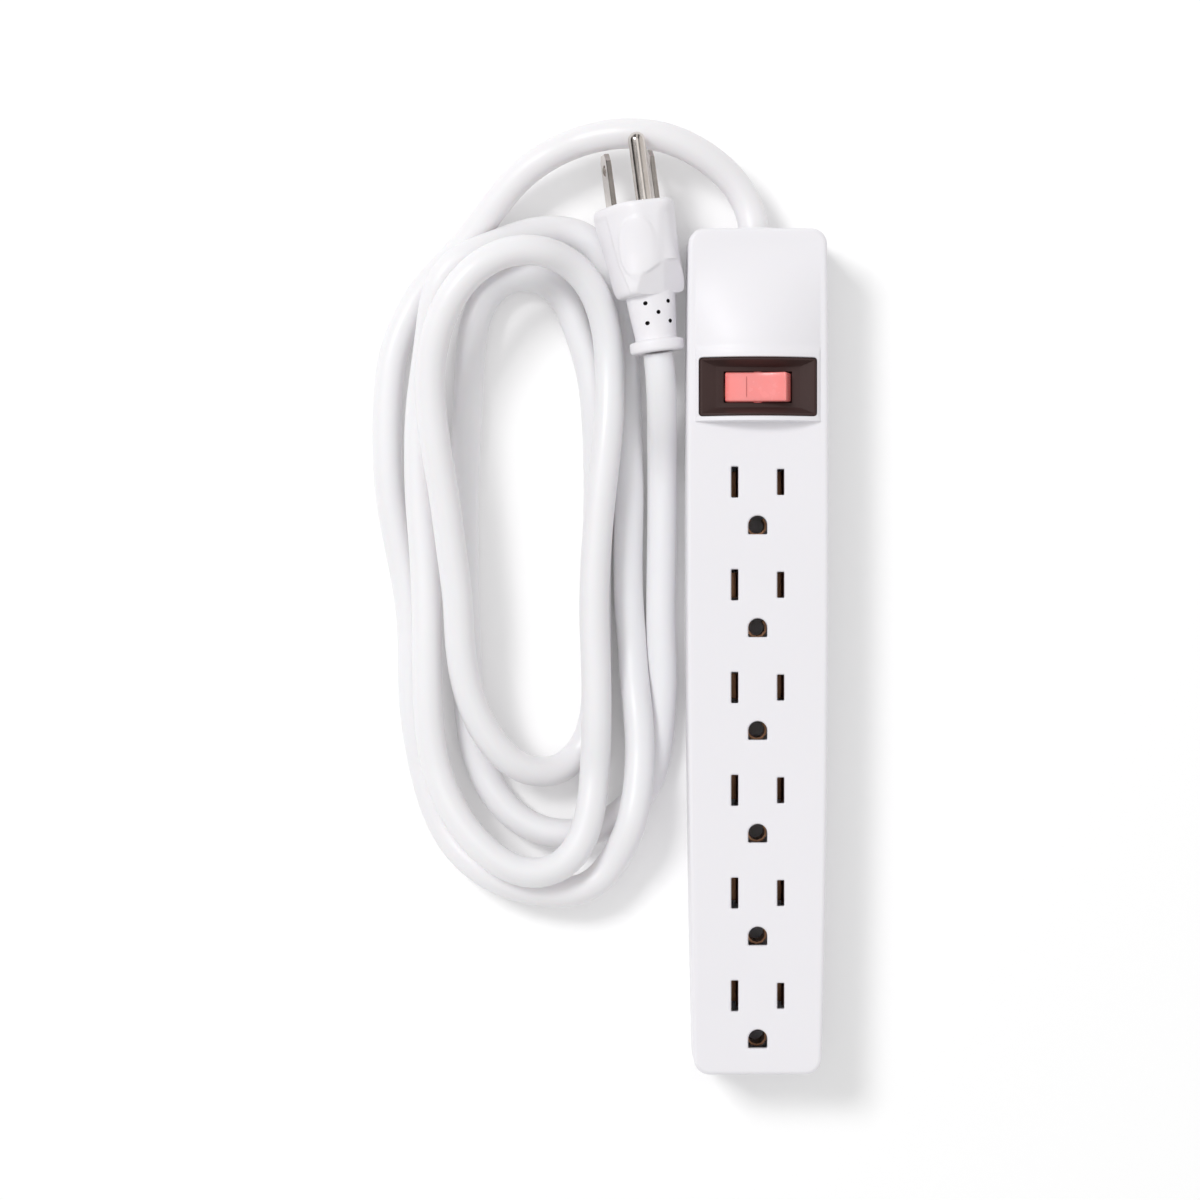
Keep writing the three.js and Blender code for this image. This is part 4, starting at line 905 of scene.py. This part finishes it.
def arch(drop=0.0):
    """The height of the bezel's upper edge, which follows the hood, less a drop."""
    return lambda x: HEIGHT - 0.3 - drop + HOOD["rise"] * max(0.0, 1 - (x / HOOD["half"]) ** 2)


def level(z):
    return lambda x: z


def switch_frame():
    """The dark bezel, its four facets and the box that holds the switch."""
    hx, hy = BEZEL["half"]
    ix, iy = hx - BEZEL["rim"], hy - BEZEL["rim"]
    fx, fy = BEZEL["floor"]
    wx, wy = BEZEL["well"]
    bx, by = BEZEL["box"]
    z = BEZEL["floor_z"]
    flange, foot = level(BEZEL["flange_z"]), level(BEZEL["box_z"])

    def between(t):
        """A ring on the facets, t of the way from the rim's inner edge down to the floor."""
        rx, ry = ix + (fx - ix) * t, iy + (fy - iy) * t
        return bezel_ring(rx, ry, lambda x: arch()(abs(x) / rx * ix) * (1 - t) + z * t)

    loops = [
        bezel_ring(hx, hy, flange), bezel_ring(hx, hy, arch(0.25)),
        bezel_ring(hx - 0.07, hy - 0.07, arch(0.08)), bezel_ring(hx - 0.2, hy - 0.2, arch()),
        bezel_ring(ix + 0.12, iy + 0.12, arch()), between(0.02), between(0.08),
        between(0.5), between(0.93), between(0.98),
        bezel_ring(fx - 0.1, fy - 0.1, level(z)), bezel_ring(wx + 0.2, wy + 0.2, level(z)),
        bezel_ring(wx + 0.06, wy + 0.06, level(z - 0.05)), bezel_ring(wx, wy, level(z - 0.2)),
        bezel_ring(wx, wy, foot), bezel_ring(bx, by, foot), bezel_ring(bx, by, flange),
        bezel_ring(hx, hy, flange),
    ]
    solid_piece(
        "switch_bezel", list(zip(loops, loops[1:])), [], M["black_moulding"],
        slot="black_moulding", replaces=("switch_frame",), smooth=28,
    )


def tilted(points):
    """Points of the rocker's own frame, tilted about its pivot into its rest place."""
    turn = Matrix.Rotation(math.radians(-TILT), 3, "Y")
    return [tuple(turn @ Vector(p) + Vector(PIVOT)) for p in points]


def rocker_top(x):
    return LEVER["top"] - LEVER["dish"] * (1 - (x / LEVER["half"]) ** 2)


def rocker_ring(x, shrink, lower):
    """One cross-section of the rocker, with rounded upper edges; the end ones lean outwards."""
    half, top, foot = LEVER["side"] - shrink, rocker_top(x) - lower, LEVER["foot"]
    soft = 0.45
    ring = arc(half - soft, top - soft, soft, 0, 90, 5)
    ring += [((half - soft) * (1 - 2 * k / 8), top) for k in range(1, 8)]
    ring += arc(soft - half, top - soft, soft, 90, 180, 5)
    ring += [(-half, foot), (-half * 0.5, foot), (half * 0.5, foot), (half, foot)]
    reach = END_LEAN["reach"] * smoothstep(abs(x), END_LEAN["from"], LEVER["half"])
    lean, depth = math.copysign(reach, x), END_LEAN["depth"]
    return [(x + lean * min(1.0, max(0.0, (top - z) / depth)), y, z) for y, z in ring]


def rocker():
    """The lever with its dished top, its pivot stubs and stem, and the mark on its top."""
    placing = {"material": M["red_lens"], "slot": "red_lens", "body": "rocker"}
    # The lever's ends are rounded off: place along X, how much narrower, how much lower.
    ends = [(8.5, 0.42, 0.42), (8.44, 0.22, 0.24), (8.3, 0.08, 0.1), (8.1, 0.0, 0.02)]
    stations = [(-x, shrink, lower) for x, shrink, lower in ends]
    stations += [(x, 0.0, 0.0) for x in np.linspace(-7.8, 7.8, 40)] + ends[::-1]
    rings = [tilted(rocker_ring(*station)) for station in stations]
    piece("rocker_lever", *closed_run(rings), **placing, replaces=("rocker",), smooth=50)
    for side, sy in (("front", -1), ("back", 1)):
        line = [(0, sy * y, 0) for y in (3.6, 4.6, 5.2, 5.3)]
        stub = tube(tilted(line), [1.1, 1.1, 1.1, 0.95], 24)
        piece(f"rocker_pivot_{side}", *stub, **placing)
    stem = tube(tilted([(0, 0, 2.2), (0, 0, -5.3), (0, 0, -5.5)]), [2.4, 2.4, 2.25], 32)
    piece("rocker_stem", *stem, **placing)

    rings = []
    for y in np.linspace(-MARK["reach"], MARK["reach"], 13):
        half = MARK["half"] * min(1.0, (MARK["reach"] + 0.12 - abs(y)) / 0.3)
        sides = (MARK["x"] - half, MARK["x"] + half)
        upper = [(x, y, rocker_top(x) + MARK["proud"]) for x in sides]
        lower = [(x, y, z - MARK["thick"]) for x, y, z in reversed(upper)]
        rings.append(tilted(upper + lower))
    piece("rocker_mark", *closed_run(rings), M["mark"], "red_lens", "rocker")


switch_frame()
rocker()


# ---------------- plug

# Where the plug's face is, how far the plug turns from the case's line, and how far it is rolled.
PLUG_PLACE = (-34.2, 124.4, 13)
PLUG_LEAN = 7.5
PLUG_ROLL = 14.5
GROUND_Z = 11.9

# Cross-sections from the face back: y, half width, lowest z, highest z, squareness and taper.
PLUG_GRIP = [
    (0.0, 9.9, -4.1, 15.2, 4.2, 0.020), (-0.12, 10.5, -4.6, 15.7, 4.2, 0.021),
    (-0.5, 11.1, -5.0, 16.2, 4.1, 0.022), (-1.2, 11.55, -5.25, 16.5, 4.0, 0.023),
    (-2.4, 11.8, -5.35, 16.6, 3.8, 0.024), (-4.5, 11.85, -5.3, 16.6, 3.5, 0.025),
    (-9.0, 11.5, -4.8, 16.2, 3.3, 0.023), (-14.0, 10.85, -4.1, 15.5, 3.3, 0.018),
    (-18.0, 10.4, -3.5, 15.0, 3.4, 0.013), (-21.0, 10.1, -3.0, 14.7, 3.5, 0.009),
    (-23.5, 9.8, -2.5, 14.4, 3.5, 0.006), (-24.8, 9.5, -2.1, 14.1, 3.4, 0.004),
    (-25.4, 9.2, -1.9, 13.7, 3.2, 0.003), (-25.75, 8.7, -1.6, 13.1, 3.0, 0.002),
    (-25.95, 7.9, -1.3, 12.2, 2.8, 0.0),
]
# The facet that slants down to the grip's back end: its highest place, the slope of its edge, how
# it falls to the back and to one side, and the height where it starts.
FACET_APEX = (2.4, -17.2)
FACET_SPREAD = 0.52
FACET_FALL = 0.42
FACET_ROLL = 0.5
FACET_TOP = 14.75
# The raised oval on the grip, seen from above: centre, half lengths and height.
PAD = {"centre": (-0.6, -13.0), "half": (5.1, 8.6), "rise": 0.42, "dish": 0.25}
# The finger hollows: where their edge runs, how deep they are and how softly they begin.
FLANK = {
    "offset": -0.7, "edge": 7.9, "slope": 0.12, "bend": 0.16, "bend_at": -17, "step": 0.42,
    "near": (-0.2, 0.35), "far": (-0.9, 1.7),
}
# The relief's first section is hidden in the grip.
PLUG_RELIEF = [
    (-24.5, 6.95, -1.0, 11.45, 2.3, 0.0),
    (-26.05, 6.95, -1.0, 11.45, 2.3, 0.0), (-26.3, 6.85, -0.95, 11.4, 2.3, 0.0),
    (-30.0, 6.55, -0.8, 11.2, 2.2, 0.0), (-34.0, 6.15, -0.6, 11.0, 2.1, 0.0),
    (-37.3, 5.8, -0.5, 10.9, 2.0, 0.0), (-38.0, 5.85, -0.55, 10.95, 2.0, 0.0),
    (-38.35, 6.3, -1.1, 11.5, 2.0, 0.0), (-38.5, 7.2, -1.75, 12.15, 2.0, 0.0),
    (-38.75, 7.5, -1.95, 12.35, 2.0, 0.0), (-39.2, 7.62, -2.0, 12.4, 2.0, 0.0),
    (-40.9, 7.62, -2.0, 12.4, 2.0, 0.0), (-41.35, 7.45, -1.9, 12.3, 2.0, 0.0),
    (-41.6, 7.1, -1.6, 12.0, 2.0, 0.0), (-41.68, 6.4, -1.0, 11.4, 2.0, 0.0),
]
DIMPLES = [(-3.3, -28.2), (3.3, -28.2), (0, -31.0), (-3.3, -33.7), (3.3, -33.7)]
DIMPLE_RADIUS = 0.58


LEAN = Matrix.Rotation(math.radians(PLUG_LEAN), 4, "Z")
ROLL = Matrix.Rotation(math.radians(PLUG_ROLL), 4, "Y")
PLUG_FRAME = Matrix.Translation(PLUG_PLACE) @ (LEAN @ ROLL)


def on_plug(points):
    """Points of the plug's own frame, where its face is at y = 0, put in their place."""
    return [tuple(PLUG_FRAME @ Vector(p)) for p in points]


def even_ring(points, count):
    """A closed ring of (x, z) points resampled to evenly spaced ones."""
    p = np.array(points + points[:1], float)
    lengths = np.concatenate([[0], np.cumsum(np.linalg.norm(np.diff(p, axis=0), axis=1))])
    places = np.linspace(0, lengths[-1], count, endpoint=False)
    return np.column_stack([np.interp(places, lengths, p[:, k]) for k in range(2)])


def plug_section(half, low, high, squareness, taper, count):
    """A superellipse that narrows upwards, as evenly spaced (x, z) points."""
    soft = 2 / squareness
    ring = []
    for k in range(720):
        a = 2 * math.pi * k / 720
        c, s = math.cos(a), math.sin(a)
        z = (low + high) / 2 + math.copysign(abs(s) ** soft, s) * (high - low) / 2
        ring.append((math.copysign(abs(c) ** soft, c) * half * (1 - taper * z), z))
    return even_ring(ring, count)


def pad_rise(across, y):
    """The raised oval grip on the side that faces up: its height at a place seen from above."""
    u = (across - PAD["centre"][0]) / PAD["half"][0]
    v = (y - PAD["centre"][1]) / PAD["half"][1]
    edge = (abs(u) ** 2.4 + abs(v) ** 2.4) ** (1 / 2.4)
    soft = 0.05 + 0.25 * smoothstep(u - v, 0, 1.2)
    oval = PAD["rise"] * smoothstep(1.0 - edge, -soft, soft)
    return oval - PAD["dish"] * smoothstep(0.85 - edge, 0, 0.7)


def flank_step(across, y):
    """How far the finger hollows on both flanks lie below the top of the grip."""
    edge = FLANK["edge"] + FLANK["slope"] * y + FLANK["bend"] * min(0.0, y - FLANK["bend_at"])
    depth = FLANK["step"] * smoothstep(-y, 1.6, 4.2)
    beyond = abs(across - FLANK["offset"]) - edge
    return depth * smoothstep(beyond, *(FLANK["far"] if across > 0 else FLANK["near"]))


def facet_limit(x, y):
    """How high the grip may stand at a place near its back end."""
    aside = x - FACET_APEX[0]
    start = FACET_APEX[1] + min(0.0, FACET_SPREAD * aside)
    if y > start:
        return HEIGHT
    return FACET_TOP + FACET_FALL * (y - start) - FACET_ROLL * max(0.0, aside)


def plug_stations(table, step):
    """The table's sections with smoothly blended ones between those that lie far apart."""
    rows = [np.array(row, float) for row in table]
    out = []
    for a, b in zip(rows, rows[1:]):
        parts = max(1, round(abs(b[0] - a[0]) / step))
        out += [a + (b - a) * k / parts for k in range(parts)]
    return out + [rows[-1]]


def plug_rings(table, step, count, grip):
    """Rings around the plug; the grip also gets its raised oval, its hollows and its facet."""
    tilt = math.radians(PLUG_ROLL)
    rings = []
    for y, half, low, high, squareness, taper in plug_stations(table, step):
        section = plug_section(half, low, high, squareness, taper, count)
        ring = []
        for k, (x, z) in enumerate(section):
            if grip and -26 < y < -1.5:
                nxt, prv = section[(k + 1) % count], section[k - 1]
                normal = np.array([nxt[1] - prv[1], prv[0] - nxt[0]])
                normal /= np.linalg.norm(normal) + 1e-12
                up = normal[1] * math.cos(tilt) - normal[0] * math.sin(tilt)
                across = x * math.cos(tilt) + z * math.sin(tilt)
                rise = pad_rise(across, y) * smoothstep(up, 0.1, 0.5)
                rise -= flank_step(across, y) * smoothstep(up, -0.2, 0.3)
                x, z = x + normal[0] * rise, z + normal[1] * rise
            if grip and z > 2:
                z = min(z, facet_limit(x, y))
            ring.append((x, y, z))
        rings.append(on_plug(ring))
    return rings


def cut_away(obj, cutters):
    """Takes the cutters' volume out of a piece; the cut walls keep the cutters' material."""
    for cutter in cutters:
        modifier = obj.modifiers.new("cut", "BOOLEAN")
        modifier.operation = "DIFFERENCE"
        modifier.solver = "EXACT"
        modifier.material_mode = "TRANSFER"
        modifier.object = cutter
    bpy.context.view_layer.update()
    made = bpy.data.meshes.new_from_object(obj.evaluated_get(bpy.context.evaluated_depsgraph_get()))
    obj.modifiers.clear()
    obj.data = made
    for cutter in cutters:
        bpy.data.objects.remove(cutter)


def loose_cutter(points, radius, material):
    mesh = mesh_of("cutter", *tube(points, radius, 28))
    mesh.materials.append(material)
    face_outwards(mesh, weld=1e-6)
    cutter = bpy.data.objects.new("cutter", mesh)
    bpy.context.scene.collection.objects.link(cutter)
    return cutter


def plug():
    """The grip, and behind it the relief with its dimples and the flange."""
    grip = closed_run(plug_rings(PLUG_GRIP, 0.4, 176, True))
    piece("plug_grip", *grip, M["white_plug"], "white_lead", replaces=("plug_body",))
    run = closed_run(plug_rings(PLUG_RELIEF, 0.6, 120, False))
    relief = piece("plug_relief", *run, M["white_plug"], "white_lead")
    face_outwards(relief.data, weld=1e-6)
    cutters = []
    for x, y in DIMPLES:
        line = on_plug([(x, y, 13), (x, y, 8.4)])
        cutters.append(loose_cutter(line, DIMPLE_RADIUS, M["hole_shade"]))
    cut_away(relief, cutters)


def blade(name, x):
    """A flat blade with a chamfered tip, a hole near it and slightly broken edges."""
    half, root, tip, thick, soft = 3.175, -9.0, 15.2, 0.75, 0.16
    hole, bore = tip - 4.5, 1.6
    middle = (tip + root) / 2

    def rim(inset):
        flat = [
            (-half, root), (half, root), (half, tip - 2), (half - 1.2, tip), (1.2 - half, tip),
            (-half, tip - 2),
        ]
        ring = []
        for (y0, z0), (y1, z1) in zip(flat, flat[1:] + flat[:1]):
            ring += [(y0 + (y1 - y0) * k / 6, z0 + (z1 - z0) * k / 6) for k in range(6)]
        wide, long = 1 - inset / half, 1 - 2 * inset / (tip - root)
        return [(a * wide, middle + (b - middle) * long) for a, b in ring]

    def layer(ring, place):
        return on_plug([(x + place, b, a) for a, b in ring])

    def layers(outer, inner):
        """An edge of the blade from one flat side to the other, broken on both."""
        depths = [(outer, -thick), (inner, soft - thick), (inner, thick - soft), (outer, thick)]
        rings = [layer(ring, place) for ring, place in depths]
        return list(zip(rings, rings[1:]))

    mouth = circle(0, hole, bore + soft, 36)
    rings = layers(rim(soft), rim(0)) + layers(mouth, circle(0, hole, bore, 36))
    flat, faces = sheet_faces(rim(soft), [mouth], [])
    sheets = [(layer(flat, -thick), faces), (layer(flat, thick), faces)]
    solid_piece(
        f"{name}_plate", rings, sheets, M["nickel"], slot="nickel", replaces=(name,), smooth=30,
    )


def ground_pin():
    radius, root, tip = 2.4, -9.0, 19.2
    line = [(0, y, GROUND_Z) for y in np.linspace(root, tip - radius, 30)]
    radii = [radius] * len(line)
    for k in range(1, 15):
        a = math.radians(90 * k / 14)
        line.append((0, tip - radius + radius * math.sin(a), GROUND_Z))
        radii.append(max(0.02, radius * math.cos(a)))
    pin = tube(on_plug(line), radii, 64)
    piece("ground_pin_round", *pin, M["nickel"], "nickel", replaces=("ground_pin",), smooth=50)


plug()
blade("neutral_blade", -BLADE_X)
blade("hot_blade", BLADE_X)
ground_pin()


# ---------------- kept nodes

for entry in frame["record"]["subparts"]:
    node = frame["nodes"][entry["node"]]
    material = M[entry["material_slot"]]
    if len(node.material_slots) == 0:
        node.data.materials.append(material)
    for holder in node.material_slots:
        holder.material = material
